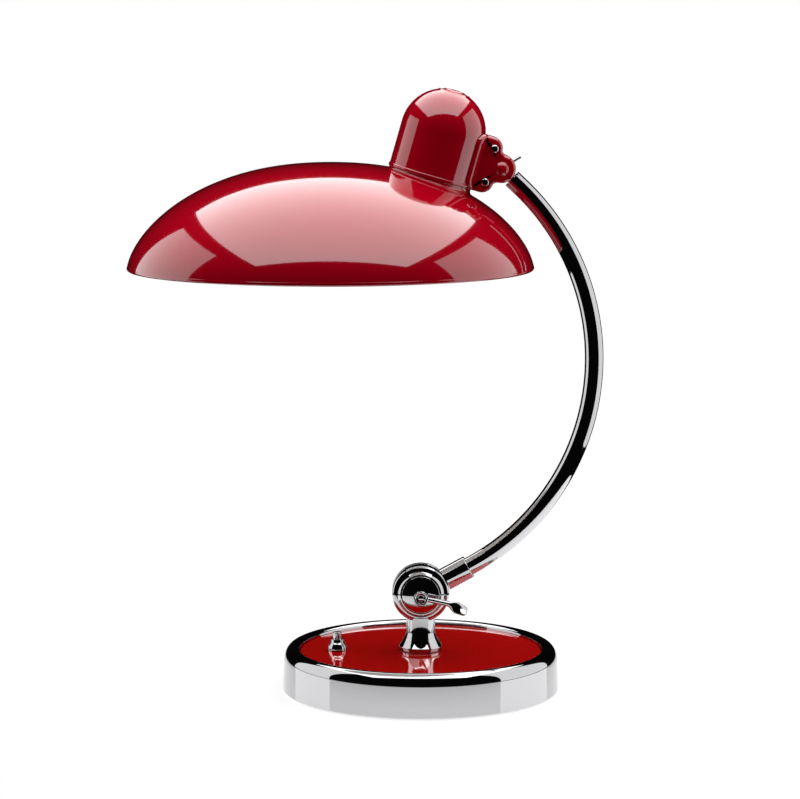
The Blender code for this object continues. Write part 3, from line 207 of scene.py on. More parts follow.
def new_finish(name, **shader_values):
    """A material with a Principled shader; keyword names are its inputs, with _ for a space."""
    finish = bpy.data.materials.new(name)
    finish.use_nodes = True
    shader = finish.node_tree.nodes["Principled BSDF"]
    for key, value in shader_values.items():
        shader.inputs[key.replace("_", " ")].default_value = value
    return finish, finish.node_tree, shader


def grain(tree, per_metre, detail=2.0, stretch=(1, 1, 1)):
    """Noise in the object's own metres: per_metre is how many patches fit in a metre."""
    place = add_node(tree, "ShaderNodeTexCoord")
    scaled = add_node(tree, "ShaderNodeMapping", {"Scale": stretch}, Vector=(place, "Object"))
    settings = {"Scale": per_metre, "Detail": detail}
    return add_node(tree, "ShaderNodeTexNoise", settings, Vector=(scaled, "Vector"))


def spread(tree, source, low, high):
    """Maps a 0 to 1 pattern to a range of values."""
    return add_node(tree, "ShaderNodeMapRange", {"To Min": low, "To Max": high}, Value=(source, "Fac"))


def bumped(tree, shader, source, height):
    """Feeds a pattern to the shader's normal as relief of the given height in metres."""
    bump = add_node(tree, "ShaderNodeBump", {"Distance": height, "Strength": 1.0}, Height=(source, "Fac"))
    tree.links.new(bump.outputs["Normal"], shader.inputs["Normal"])


# %% [markdown]
# ### Gloss lacquer on spun steel
# The shade, the cap and the bracket are sprayed with a red enamel and polished. Enamel is a dielectric:
# a coloured body under a clear surface, so the reflections stay white while the body is deep red. A
# faint orange peel, with waves about 3 mm long and a few thousandths of a millimetre high, keeps the
# reflected edges from looking drawn.

# %% Red lacquer
PATCHES = 14  # changes of tone in a metre
PEEL_WAVES, PEEL_HEIGHT = 330, 0.0000025  # orange peel: waves in a metre, and their height


def blended(tree, one, other, factor):
    """Mixes two sRGB hex colours by a pattern. Returns the mix's two colour inputs, and its colour
    output."""
    blend = add_node(tree, "ShaderNodeMix", {"data_type": "RGBA"})
    colours = [socket for socket in blend.inputs if socket.type == "RGBA"]
    colours[0].default_value, colours[1].default_value = linear(one), linear(other)
    tree.links.new(factor.outputs["Fac"], blend.inputs[0])
    return colours, [socket for socket in blend.outputs if socket.type == "RGBA"][0]


def lacquer_of(name, tone, deep, lining=None):
    """Enamel in two close tones under a clear coat, which gives the eye white reflections over deep
    red. With a lining colour, the faces marked as inside are painted with that instead."""
    coat = {"Coat_Weight": 1.0, "Coat_Roughness": 0.015}
    finish, tree, shader = new_finish(name, Roughness=0.08, IOR=1.5, **coat)
    _, colour = blended(tree, tone, deep, grain(tree, PATCHES))
    if lining:
        inside = add_node(tree, "ShaderNodeAttribute", {"attribute_name": "inside"})
        colours, lined = blended(tree, tone, lining, inside)
        tree.links.new(colour, colours[0])
        colour = lined
    tree.links.new(colour, shader.inputs["Base Color"])
    bumped(tree, shader, grain(tree, PEEL_WAVES, 1.0), PEEL_HEIGHT)
    return finish


lacquer = lacquer_of("gloss_red_enamel_on_steel", "#B4001C", "#A20018")
shade_lacquer = lacquer_of("gloss_red_enamel_white_inside", "#B4001C", "#A20018", "#ECEAE4")
# The disc's enamel is a lighter, more orange copy of the same red. Its warmer hue is the disc's own; its extra
# brightness is painted light that makes up for the shade's shadow over the disc.
disc_lacquer_with_painted_light = lacquer_of("gloss_red_enamel_with_painted_light_on_disc", "#DC0E08", "#D00C0A")

# %% [markdown]
# ### Chromium plate
# Chrome is a metal, so nearly all its colour is reflection. Real plate on a polished part is almost a
# mirror, with a touch of haze where fingers and dust have been. The haze is a change of roughness over
# a few centimetres.

# %% Chrome, and the other metals
def metal(name, tone, roughness_low, roughness_high, per_metre=30, stretch=(1, 1, 1), relief=0.0):
    """A bare or plated metal: its roughness drifts between two values, so its reflections aren't all
    as sharp."""
    finish, tree, shader = new_finish(name, Base_Color=linear(tone), Metallic=1.0)
    haze = grain(tree, per_metre, 3.0, stretch)
    rough = spread(tree, haze, roughness_low, roughness_high)
    tree.links.new(rough.outputs["Result"], shader.inputs["Roughness"])
    if relief:
        bumped(tree, shader, haze, relief)
    return finish


chrome = metal("polished_chromium_plate", "#B8B8BA", 0.02, 0.05)
zinc = metal("zinc_plated_steel", "#B9BAB6", 0.28, 0.42, 400)
brass = metal("turned_brass", "#D8B36A", 0.16, 0.30, 900, (1, 1, 6))
rolled = metal("rolled_aluminium_cap", "#D4D4D2", 0.22, 0.34, 500)
iron = metal("sand_cast_iron", "#4A4947", 0.55, 0.75, 700, (1, 1, 1), 0.0002)

# %% [markdown]
# ### Rubber, fibre, moulding, porcelain and opal glass
# These are the quiet pieces. Each still has its own grain: rubber has a fine pebble, vulcanised fibre
# is mottled, porcelain has a smooth glaze, and opal glass scatters light so that the bulb looks like a
# soft white ball.

# %% The non-metals
def mottled(name, tone, deep, roughness, per_metre, relief, **more):
    """A moulded or fired material in two tones, with the same pattern as its relief, so it doesn't
    look printed."""
    finish, tree, shader = new_finish(name, Roughness=roughness, **more)
    cloud = grain(tree, per_metre, 3.0)
    _, colour = blended(tree, tone, deep, cloud)
    tree.links.new(colour, shader.inputs["Base Color"])
    bumped(tree, shader, cloud, relief)
    return finish


rubber = mottled("moulded_black_rubber", "#242424", "#191919", 0.75, 1500, 0.00005)
fibre = mottled("vulcanised_fibre", "#6B4330", "#4E2E20", 0.80, 1200, 0.00003)
phenolic = mottled("black_phenolic_moulding", "#1B1B1C", "#121213", 0.30, 600, 0.00001)
porcelain = mottled("glazed_porcelain", "#EFEBE2", "#E4DFD3", 0.12, 120, 0.00002, Coat_Weight=0.6)
opal = mottled("opal_bulb_glass", "#F4F3EE", "#EAE8E1", 0.22, 60, 0.00001, Coat_Weight=0.4)
print("finishes", len(bpy.data.materials))

# %% [markdown]
# ## The weighted base
# A chromed steel ring with a rounded shoulder holds a lacquered disc. The profile is two quarter
# ellipses and a straight wall, carried round the axis with 256 sides so that the reflection of the
# light panels bends smoothly.

# %% Base ring and disc
GAP = 0.0003  # clearance between neighbours, the same as in the working model
UP = np.array([0.0, 0.0, 1.0])
FRONT = np.array([0.0, -1.0, 0.0])
origin = np.zeros(3)
rim_low, rim_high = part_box("base_rim")
disc_low, disc_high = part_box("base_disc")
base_radius, rim_top, rim_foot = rim_high.x, rim_high.z, rim_low.z
disc_radius, disc_top = disc_high.x, disc_high.z
SHOULDER = (0.0065, 0.0090)  # outwards and downwards from the crest
WALL_SET_OUT = 0.0010  # the foot of the wall stands this far outside the shoulder
FOOT_ROUND = 0.0008
RIM_WALL = 0.0030
crest = base_radius - WALL_SET_OUT - SHOULDER[0]
inner = disc_radius + GAP
edge = disc_top + 0.0009
inside = base_radius - RIM_WALL
rim_profile = np.concatenate(
    [
        arc((crest, edge), (crest - inner, rim_top - edge), 180, 90, 16),
        arc((crest, rim_top - SHOULDER[1]), SHOULDER, 90, 0, 32)[1:],
        arc((base_radius - FOOT_ROUND, rim_foot + FOOT_ROUND), (FOOT_ROUND, FOOT_ROUND), 0, -90, 6),
        [(inside, rim_foot), (inside, disc_top - 0.0080), (inner, disc_top - 0.0040)],
    ]
)
rim = shell(turned(rim_profile, origin, UP, 256), ring=True)
show_chrome("base_ring_chrome", "base", "base_rim", rim)
BEVEL = 0.0005
disc_profile = [(0, disc_top), (disc_radius - BEVEL, disc_top), (disc_radius, disc_top - BEVEL)]
disc_profile += [(disc_radius, disc_low.z), (0, disc_low.z)]
disc = shell(turned(disc_profile, origin, UP, 256))
disc_mesh = mesh_of("base_disc_lacquer", disc)
# The disc takes the brightened copy of the red enamel, which carries painted light.
show("base_disc_lacquer", disc_mesh, "base", disc_lacquer_with_painted_light, "red_lacquer", "base_disc")

# %% [markdown]
# ## Stem, fork and switch
# The stem flares out at its foot like a candlestick: its radius grows as a power of the way down. Two
# round cheeks stand on it, and the tongue of the arm turns between them, so the top of the stem is
# hollowed by the same circle.

# %% Stem and fork
KNUCKLE_RADIUS = 0.0200
KNUCKLE_FACE = 0.0090
FORK_INSIDE = 0.0039
stem_foot = disc_top + GAP
waist = disc_top + 0.0134
widest = disc_top + 0.0034
STEM_RADIUS = 0.0101
FOOT_RADIUS = 0.01525
SHANK_RADIUS = 0.0050
shank_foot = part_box("stem")[0].z
stem_head = knuckle[2] - KNUCKLE_RADIUS + 0.0034
share = np.linspace(0, 1, 40)[:, None]
flare = np.c_[STEM_RADIUS + (FOOT_RADIUS - STEM_RADIUS) * share**1.4, waist + (widest - waist) * share]
stem_profile = np.concatenate(
    [
        [(0, stem_head)],
        [(STEM_RADIUS * part, stem_head) for part in (0.2, 0.4, 0.6, 0.8, 0.9)],
        [(STEM_RADIUS, stem_head - 0.0004)],
        flare,
        arc((FOOT_RADIUS - 0.0012, widest - 0.0004), (0.0012, 0.0004), 0, -80, 6),
        arc((0.0138, stem_foot + 0.0026), (0.0003, 0.0026), 0, -90, 6),
        [(SHANK_RADIUS, stem_foot), (SHANK_RADIUS, shank_foot), (0, shank_foot)],
    ]
)
post = turned(stem_profile, origin, UP, 192)
slot_floor = knuckle[2] - np.sqrt(np.maximum((KNUCKLE_RADIUS + GAP) ** 2 - post[..., 0] ** 2, 0))
between = np.abs(post[..., 1]) < FORK_INSIDE
post[..., 2] = np.where(between, np.minimum(post[..., 2], slot_floor), post[..., 2])
EDGE = (0.0032, 0.0022)  # the rounding of the cheeks: across the face, and along the axis
cheek_profile = np.concatenate(
    [
        [(0, KNUCKLE_FACE)],
        arc((KNUCKLE_RADIUS - EDGE[0], KNUCKLE_FACE - EDGE[1]), EDGE, 90, 0, 16),
        [(KNUCKLE_RADIUS, FORK_INSIDE + 0.0002), (KNUCKLE_RADIUS - 0.0002, FORK_INSIDE)],
        [(0, FORK_INSIDE)],
    ]
)
cheeks = [shell(turned(cheek_profile, knuckle, FRONT * sign, 192)) for sign in (1, -1)]
show_chrome("stem_and_fork_chrome", "base", "stem", shell(post), *cheeks)

# %% Switch
switch_low, switch_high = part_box("switch_collar")
switch_at = np.array([(switch_low.x + switch_high.x) / 2, 0, 0])
collar_foot, collar_top = switch_low.z, switch_high.z
COLLAR_FOOT, COLLAR_HEAD, COLLAR_BORE = 0.0068, 0.00465, 0.00345  # radii
ogive = arc((0, collar_foot), (COLLAR_FOOT, collar_top - collar_foot), 0, 90, 60)
ogive = ogive[ogive[:, 0] > COLLAR_HEAD]
collar_profile = [(COLLAR_BORE, collar_foot), *ogive]
collar_profile += [(COLLAR_HEAD - 0.00025, collar_top), (COLLAR_BORE + 0.0003, collar_top)]
collar_profile += [(COLLAR_BORE, collar_top - 0.0003)]
collar = shell(turned(collar_profile, switch_at, UP, 96), ring=True)
show_chrome("switch_collar_chrome", "base", "switch_collar", collar)
_, button_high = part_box("switch_button")
soft = 0.0008
BUTTON_RADIUS = 0.00305
button_foot = collar_foot + 0.0033  # stays above the disc when the button is pressed
button_profile = np.concatenate(
    [
        [(0, button_high.z)],
        arc((BUTTON_RADIUS - soft, button_high.z - soft), (soft, soft), 90, 0, 10),
        [(BUTTON_RADIUS, button_foot), (0, button_foot)],
    ]
)
button = shell(turned(button_profile, switch_at, UP, 96))
show_chrome("switch_button_chrome", "button", "switch_button", button)

# %% [markdown]
# ## The clamp
# A ring and a domed washer lie on the fork's front cheek, and a winged lever tightens them. The lever
# is a hub with a narrow arm; the arm ends in a flat paddle that twists, which is one section turned a
# little more at each step.

# %% Ring, domed washer and lever
face = KNUCKLE_FACE + GAP
RING_BORE, RING_FOOT = 0.01355, 0.0162  # radii
ring_profile = np.concatenate(
    [
        [(RING_BORE, face), (RING_FOOT, face), (RING_FOOT, face + 0.0002)],
        arc((0.0142, face + 0.0011), (0.0005, 0.0005), 25, 90, 8),
        [(RING_BORE + 0.00015, face + 0.0016), (RING_BORE, face + 0.0013)],
    ]
)
ring = shell(turned(ring_profile, knuckle, FRONT, 160), ring=True)
show_chrome("knuckle_ring_chrome", "base", "knuckle_ring", ring)
DISH = (0.01325, 0.0020)  # radius, and rise of the dome over its edge
DISH_EDGE = 0.0012
BORE = 0.0034  # of the dish and of the hub
dome_part = arc((0, face + DISH_EDGE), DISH, 0, 90, 40)
dome_part = dome_part[dome_part[:, 0] > 0.0040]
dish_top = DISH_EDGE + DISH[1]
dish_profile = np.concatenate([[(BORE, face), (DISH[0], face)], dome_part, [(BORE, face + dish_top)]])
dish = shell(turned(dish_profile, knuckle, FRONT, 160), ring=True)
show_chrome("knuckle_washer_chrome", "base", "knuckle_dish", dish)

LEVER_FACE = 0.0248
BOLT_RADIUS, BOLT_HEAD, BOLT_SOFT = 0.0030, 0.0105, (0.0021, 0.0011)
bolt_profile = np.concatenate(
    [
        arc((0, LEVER_FACE - 0.0030), (BOLT_RADIUS, 0.0020), 90, 0, 16),
        [(BOLT_RADIUS, -face), (BOLT_HEAD, -face), (BOLT_HEAD, -face - BOLT_SOFT[1])],
        arc((BOLT_HEAD - BOLT_SOFT[0], -face - BOLT_SOFT[1]), BOLT_SOFT, 0, -90, 12),
        [(0, -face - 2 * BOLT_SOFT[1])],
    ]
)
bolt_profile[0, 0] = 0
bolt = shell(turned(bolt_profile, knuckle, FRONT, 96))
show_chrome("knuckle_bolt_chrome", "base", "knuckle_bolt", bolt)
HUB_RADIUS = 0.00525
hub_foot = KNUCKLE_FACE + dish_top + 2 * GAP
soft = 0.0007
hub_profile = np.concatenate(
    [
        [(BORE, hub_foot), (HUB_RADIUS, hub_foot)],
        arc((HUB_RADIUS - soft, LEVER_FACE - soft), (soft, soft), 0, 90, 10),
        [(BORE + 0.0003, LEVER_FACE), (BORE, LEVER_FACE - 0.0003)],
    ]
)
hub = shell(turned(hub_profile, knuckle, FRONT, 128), ring=True)


ARM_START, ARM_END, PADDLE = 0.0019, 0.0190, 0.0150  # distances along the lever, and the paddle's length
ARM_ANGLE, PADDLE_ANGLE, PADDLE_TWIST = np.radians([-12, -25, -55])


def lever_rows(steps=72, sides=48):
    """Rounded sections along the lever. The way runs at one angle along the arm and at another along
    the paddle; the section's width, thickness and twist change smoothly with the distance along
    it."""
    length = np.linspace(ARM_START, ARM_END + PADDLE, steps)
    on_paddle = np.clip((length - ARM_END) / PADDLE, 0, 1)
    on_arm = np.minimum(length, ARM_END)
    bend = np.array([math.cos(PADDLE_ANGLE), math.sin(PADDLE_ANGLE)]) * PADDLE
    centre = np.outer(on_arm, [math.cos(ARM_ANGLE), math.sin(ARM_ANGLE)]) + np.outer(on_paddle, bend)
    grown = np.clip(2 * on_paddle, 0, 1)
    grown = grown * grown * (3 - 2 * grown)
    heading = ARM_ANGLE + (PADDLE_ANGLE - ARM_ANGLE) * grown
    twist = PADDLE_TWIST * on_paddle
    near_end = np.clip(on_paddle - 0.80, 0, 1) / 0.2
    tip = np.clip(1 - near_end**4, 0.04, 1) ** 0.5 * (1 - 0.12 * on_paddle)
    half_wide = (0.0018 + 0.0027 * grown) * tip
    half_thin = (0.0022 - 0.0012 * grown) * np.sqrt(tip)
    angle = np.linspace(0, 2 * math.pi, sides, endpoint=False)
    round_wide = np.sign(np.cos(angle)) * np.abs(np.cos(angle)) ** 0.75
    round_thin = np.sign(np.sin(angle)) * np.abs(np.sin(angle)) ** 0.75
    across = np.stack([-np.sin(heading), np.cos(heading), np.zeros(steps)], -1)
    depth = np.array([0.0, 0.0, 1.0])
    wide = across * np.cos(twist)[:, None] + depth * np.sin(twist)[:, None]
    thin = -across * np.sin(twist)[:, None] + depth * np.cos(twist)[:, None]
    middle = np.c_[centre, np.full(steps, LEVER_FACE - 0.0036)]
    rows = middle[:, None] + wide[:, None] * (half_wide[:, None] * round_wide)[..., None]
    rows = rows + thin[:, None] * (half_thin[:, None] * round_thin)[..., None]
    ends = [np.repeat(middle[place, None, None], sides, 1) for place in (0, -1)]
    rows = np.concatenate([ends[0], rows, ends[1]])
    return knuckle + rows[..., :1] * [1, 0, 0] + rows[..., 1:2] * UP + rows[..., 2:] * FRONT


show_chrome("wing_lever_chrome", "lever", "wing_lever", hub, shell(lever_rows()), crease=50)

# %% [markdown]
# ## The bent tube
# The tube leaves the knuckle straight, then follows one arc, and ends straight in the ball joint. Its
# centre line is made first, and each point of it carries a circle that stands square to the line.

# %% Arm
RISE = math.radians(28.5)
STRAIGHT = 0.0385
BEND = 0.1665
rise = np.array([math.cos(RISE), 0, math.sin(RISE)])
lift = np.array([-math.sin(RISE), 0, math.cos(RISE)])
bend_centre = knuckle + rise * STRAIGHT + lift * BEND
TUBE_RADIUS, TUBE_WALL = 0.0065, 0.0010
SOCKET = 0.0080  # how deep the tube sits in the ferrule
tube_end = ball - arm_up * 0.0103


def tube_rows(radius, steps=140, sides=72):
    """Circles along the centre line: a straight from the ferrule, an arc of constant radius, then a
    straight."""
    angle = np.linspace(RISE, math.atan2(arm_up[2], arm_up[0]), steps)
    out = np.stack([np.sin(angle), np.zeros(steps), -np.cos(angle)], -1)
    centre = bend_centre + out * BEND
    heading = np.stack([np.cos(angle), np.zeros(steps), np.sin(angle)], -1)
    centre = np.concatenate([[knuckle + rise * (STRAIGHT - SOCKET)], centre, [tube_end]])
    heading = np.concatenate([[rise], heading, [arm_up]])
    side = np.array([0.0, 1.0, 0.0])
    other = np.cross(side, heading)
    turn = np.linspace(0, 2 * math.pi, sides, endpoint=False)
    ring_of = np.cos(turn)[None, :, None] * side + np.sin(turn)[None, :, None] * other[:, None]
    return centre[:, None] + ring_of * radius


tube = np.concatenate([tube_rows(TUBE_RADIUS), tube_rows(TUBE_RADIUS - TUBE_WALL)[::-1]])
show_chrome("arm_tube_chrome", "arm", "arm_tube", shell(tube, ring=True))

FERRULE = 0.00815
soft = 0.0006
bore, floor = TUBE_RADIUS + GAP, STRAIGHT - SOCKET - GAP
ferrule_profile = np.concatenate(
    [
        [(0, floor), (bore, floor), (bore, STRAIGHT)],
        arc((FERRULE - soft, STRAIGHT - soft), (soft, soft), 90, 0, 8),
        [(FERRULE * part, 0) for part in (1, 0.97, 0.8, 0.6, 0.4, 0.2)],
        [(0, 0)],
    ]
)
ferrule = turned(ferrule_profile, knuckle, rise, 128)
saddle_radius = KNUCKLE_RADIUS + 0.0006  # the ferrule's foot is hollowed round the fork
saddle = np.sqrt(saddle_radius**2 - np.sum((ferrule - knuckle) * lift, -1) ** 2)
shift = np.where(ferrule_profile[:, 1:] == 0, saddle, 0)
shift[-1] = saddle_radius
ferrule = ferrule + shift[..., None] * rise
TONGUE_RADIUS, TONGUE_HALF = 0.0197, 0.0030
flat, side = TONGUE_RADIUS - 0.0002, TONGUE_HALF - 0.0002
tongue_profile = [(0, TONGUE_HALF), (flat, TONGUE_HALF), (TONGUE_RADIUS, side)]
tongue_profile += [(reach, -height) for reach, height in tongue_profile[::-1]]
tongue = shell(turned(tongue_profile, knuckle, FRONT, 160))
show_chrome("arm_knuckle_chrome", "arm", "arm_knuckle", shell(ferrule), tongue)

# %% Ball and its stud
BALL_RADIUS, SHANK, STUD_LENGTH = 0.0080, 0.0036, 0.0230
meets = math.degrees(math.asin(SHANK / BALL_RADIUS))
stud_profile = np.concatenate(
    [
        arc((0, 0), (BALL_RADIUS, BALL_RADIUS), -90, 90 - meets, 48),
        [(SHANK, STUD_LENGTH), (0, STUD_LENGTH)],
    ]
)
stud_profile[0, 0] = 0
stud = shell(turned(stud_profile, ball, -arm_up, 96))
show_chrome("ball_stud_chrome", "ball", "ball_stud", stud)

# %% [markdown]
# ## The shade
# The shade is a flattened superellipse: with x as the share of the radius, its height is (1 - x^2.2)^(1
# / 1.6). A tilted collar rises out of it where the cap sits, off to one side. Instead of joining two
# solids, the surface is drawn as one skin: every strip starts at the collar, rounds a small fillet, and
# runs out to the rim.

# %% Shade skin
TILT = math.radians(16)
neck_axis = np.array([math.sin(TILT), 0, math.cos(TILT)])
neck_out = np.array([math.cos(TILT), 0, -math.sin(TILT)])
BALL_OUT, BALL_ABOVE = 0.0458, 0.0195  # from the neck's axis at the seam to the ball
seam = ball - neck_out * BALL_OUT - neck_axis * BALL_ABOVE
SHADE_RADIUS, SHADE_HEIGHT, SHEET = 0.1413, 0.0742, 0.0012
NECK_RADIUS = 0.0295
NECK_INSIDE = NECK_RADIUS - SHEET
dome_low, dome_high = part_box("shade_dome")
shade_axis = np.array([dome_low.x + SHADE_RADIUS, 0, dome_low.z])
POWER_OUT, POWER_UP = 2.2, 1.6


def dome_height(reach, thin=0.0):
    """Height of the dome over its rim at a distance from its axis, for the outside or for a surface
    thin inside it."""
    share = np.clip(1 - (reach / (SHADE_RADIUS - thin)) ** POWER_OUT, 0, 1)
    return (SHADE_HEIGHT - thin) * share ** (1 / POWER_UP)


def on_dome(outwards, reach, thin=0.0):
    """Where lines parallel to the neck's axis, this far out from it, meet the dome. It halves the
    interval forty times."""
    start = seam + outwards * np.asarray(reach)[..., None]
    low, high = np.full(start.shape[:-1], -0.060), np.full(start.shape[:-1], 0.020)
    for _ in range(40):
        middle = (low + high) / 2
        point = start + middle[..., None] * neck_axis
        distance = np.hypot(point[..., 0] - shade_axis[0], point[..., 1])
        above = point[..., 2] - shade_axis[2] > dome_height(distance, thin)
        low, high = np.where(above, low, middle), np.where(above, middle, high)
    return start + ((low + high) / 2)[..., None] * neck_axis


def run_out(start, thin, steps, rim_reach):
    """From the points in start out to the rim: in plan each strip is a straight line, with the sine
    of the way as its share so that points gather where the wall turns steep. The height comes from
    the dome."""
    turn = np.linspace(0, 2 * math.pi, len(start), endpoint=False)
    target = shade_axis[:2] + rim_reach * np.stack([np.cos(turn), np.sin(turn)], -1)
    share = np.sin(np.linspace(0, math.pi / 2, steps + 1))[1:, None, None]
    plan = start[None, :, :2] * (1 - share) + target[None] * share
    distance = np.hypot(plan[..., 0] - shade_axis[0], plan[..., 1])
    return np.concatenate([plan, (shade_axis[2] + dome_height(distance, thin))[..., None]], -1)


SIDES = 320
turn = np.linspace(0, 2 * math.pi, SIDES, endpoint=False)
outwards = np.cos(turn)[:, None] * neck_out + np.sin(turn)[:, None] * np.array([0, 1, 0])
collar_top = seam - neck_axis * GAP
wall_foot = on_dome(outwards, np.full(SIDES, NECK_RADIUS))
collar_height = (collar_top - wall_foot) @ neck_axis
FILLET, STEP = 0.0045, 0.0002
fillet = np.minimum(FILLET, 0.75 * collar_height)
fillet_out = on_dome(outwards, NECK_RADIUS + fillet)
slope = (on_dome(outwards, NECK_RADIUS + fillet + STEP) - fillet_out) / STEP
corner = fillet_out - slope * fillet[:, None]
fillet_up = wall_foot + fillet[:, None] * neck_axis
bend = np.linspace(0, 1, 13)[:, None, None]
fillet_rows = (1 - bend) ** 2 * fillet_up + 2 * bend * (1 - bend) * corner + bend**2 * fillet_out
wall_rows = [
    collar_top + outwards * (NECK_RADIUS - 0.0004),
    collar_top + outwards * NECK_RADIUS - neck_axis * 0.0004,
]
BEAD = 0.0017



def reach_at(height, thin=0.0):
    """Distance from the shade's axis at which the dome has this height: the dome's formula turned
    round."""
    share = 1 - (height / (SHADE_HEIGHT - thin)) ** POWER_UP
    return (SHADE_RADIUS - thin) * share ** (1 / POWER_OUT)


bead = arc((SHADE_RADIUS - BEAD, BEAD), (BEAD, BEAD), 35, -190, 26)
bead_rows = turned(bead, shade_axis, UP, SIDES)
inner_start = on_dome(outwards, np.full(SIDES, NECK_INSIDE), SHEET)
skin = np.concatenate(
    [
        wall_rows,
        fillet_rows,
        run_out(fillet_out, 0.0, 120, reach_at(BEAD * 1.4)),
        bead_rows,
        run_out(inner_start, SHEET, 60, reach_at(BEAD * 1.5, SHEET))[::-1],
        [inner_start, collar_top + outwards * NECK_INSIDE],
    ]
)
dome = mesh_of("shade_dome_lacquer", shell(skin, ring=True))
points = np.empty(3 * len(dome.vertices))
dome.vertices.foreach_get("co", points)
points = points.reshape(-1, 3) - shade_axis
distance = np.hypot(points[:, 0], points[:, 1])
lined = (points[:, 2] < dome_height(distance) - SHEET / 2) & (distance < SHADE_RADIUS - BEAD)
dome.attributes.new("inside", "FLOAT", "POINT").data.foreach_set("value", lined.astype(float))
show("shade_dome_lacquer", dome, "shade", shade_lacquer, "red_lacquer", "shade_dome")
least, most = 1000 * collar_height.min(), 1000 * collar_height.max()
print(f"the collar stands {least:.1f} to {most:.1f} mm out of the dome")

# %% [markdown]
# ### The cap over the socket
# The cap is a straight wall under a half ball, with a rolled lip at its foot. Low pressed rings go
# round its crown: they stand only a few tenths of a millimetre proud, but on gloss paint that is enough
# to break up a reflection.

# %% Cap
CAP_STRAIGHT = 0.0330
crown = arc((0, CAP_STRAIGHT), (NECK_RADIUS, NECK_RADIUS), 90, 0, 120)
from_top = np.linspace(0, 90, 121)
ridge = sum(proud * np.exp(-(((from_top - at) / 1.6) ** 2)) for at, proud in ((13, 0.00035), (21, 0.0003)))
crown_out = (crown - [0, CAP_STRAIGHT]) / NECK_RADIUS
crown = crown + crown_out * ridge[:, None]
crown[0, 0] = 0
cap_profile = np.concatenate(
    [
        crown,
        [(NECK_RADIUS, 0.0042)],
        arc((NECK_RADIUS, 0.0017), (0.0006, 0.0011), 80, -80, 14),
        [(NECK_RADIUS, 0.0003), (NECK_RADIUS - 0.0003, 0), (NECK_INSIDE, 0)],
        arc((0, CAP_STRAIGHT), (NECK_INSIDE, NECK_INSIDE), 0, 90, 40),
    ]
)
cap_profile[-1, 0] = 0
cap = shell(turned(cap_profile, seam, neck_axis, 256))
cap_mesh = mesh_of("socket_cap_lacquer", cap)
show("socket_cap_lacquer", cap_mesh, "shade", lacquer, "red_lacquer", "socket_cap")

# %% [markdown]
# ## The bracket
# Two pressed halves clamp the ball. Each is a flat slab with rounded edges: its outline is drawn once,
# moved inwards a little at each step of the rounding, and then closed on the middle. There the face
# swells into a low round boss. On the inside the same rows are hollowed for the ball, and opened in a
# sector where the stud swings.

# %% Bracket halves
HALF = 0.0110
SPLIT = 0.0002
NOSE, LOBE = 0.0098, 0.0078
lobe_at = (-0.0107, 0.0118)
FLANGE = 0.0024  # thickness of the bent sheet that hugs the neck
BRACKET_HALF = 0.0196  # half of the bracket's height
back = NECK_RADIUS - BALL_OUT - FLANGE
outline = np.concatenate(
    [
        [(back, -BRACKET_HALF)],
        arc((lobe_at[0], -lobe_at[1]), (LOBE, LOBE), -90, 2, 24),
        arc((0, 0), (NOSE, NOSE), -92, 92, 56),
        arc(lobe_at, (LOBE, LOBE), -2, 90, 24),
        [(back, BRACKET_HALF)],
    ]
)
outline = resampled(outline, 320)
for _ in range(4):
    outline = (np.roll(outline, 1, 0) + 2 * outline + np.roll(outline, -1, 0)) / 4
ROUNDING = 0.0028
edge_profile = arc((ROUNDING, HALF - ROUNDING), (ROUNDING, ROUNDING), 180, 90, 11)
FILL = 40
body = slab(outline, [(0, SPLIT), *edge_profile], FILL)
reach = np.hypot(body[..., 0], body[..., 1])
BOSS_RADIUS, BOSS_SUNK, BOSS_SOFT = 0.0062, 0.0040, 0.0005
boss = np.sqrt(np.maximum(BOSS_RADIUS**2 - reach**2, 0)) - BOSS_SUNK
boss = (boss + np.sqrt(boss**2 + BOSS_SOFT**2)) / 2
boss = np.where(reach < BOSS_RADIUS, boss, 0)
outer_rows = np.arange(len(body)) >= len(body) - FILL - 1
body[..., 2] += np.where(outer_rows[:, None], boss, 0)
bearing = np.degrees(np.arctan2(body[..., 1], body[..., 0]))
shank_way = math.degrees(math.atan2(-arm_up @ neck_axis, -arm_up @ neck_out))
SWING = (-12, 22)  # degrees either way, as the working model limits it
SLOT_SIDE = 31.7  # degrees from the shank's middle to the side of the slot
in_slot = (bearing > shank_way + SWING[0] - SLOT_SIDE) & (bearing < shank_way + SWING[1] + SLOT_SIDE)
SEAT_RADIUS, SLOT_HALF = 0.00845, 0.0042
hollow = np.sqrt(np.maximum(SEAT_RADIUS**2 - reach**2, 0))
hollow = np.maximum(hollow, np.where(in_slot, SLOT_HALF, SPLIT))
inner_rows = np.arange(len(body)) < FILL + 1
body[..., 2] = np.where(inner_rows[:, None], hollow, body[..., 2])

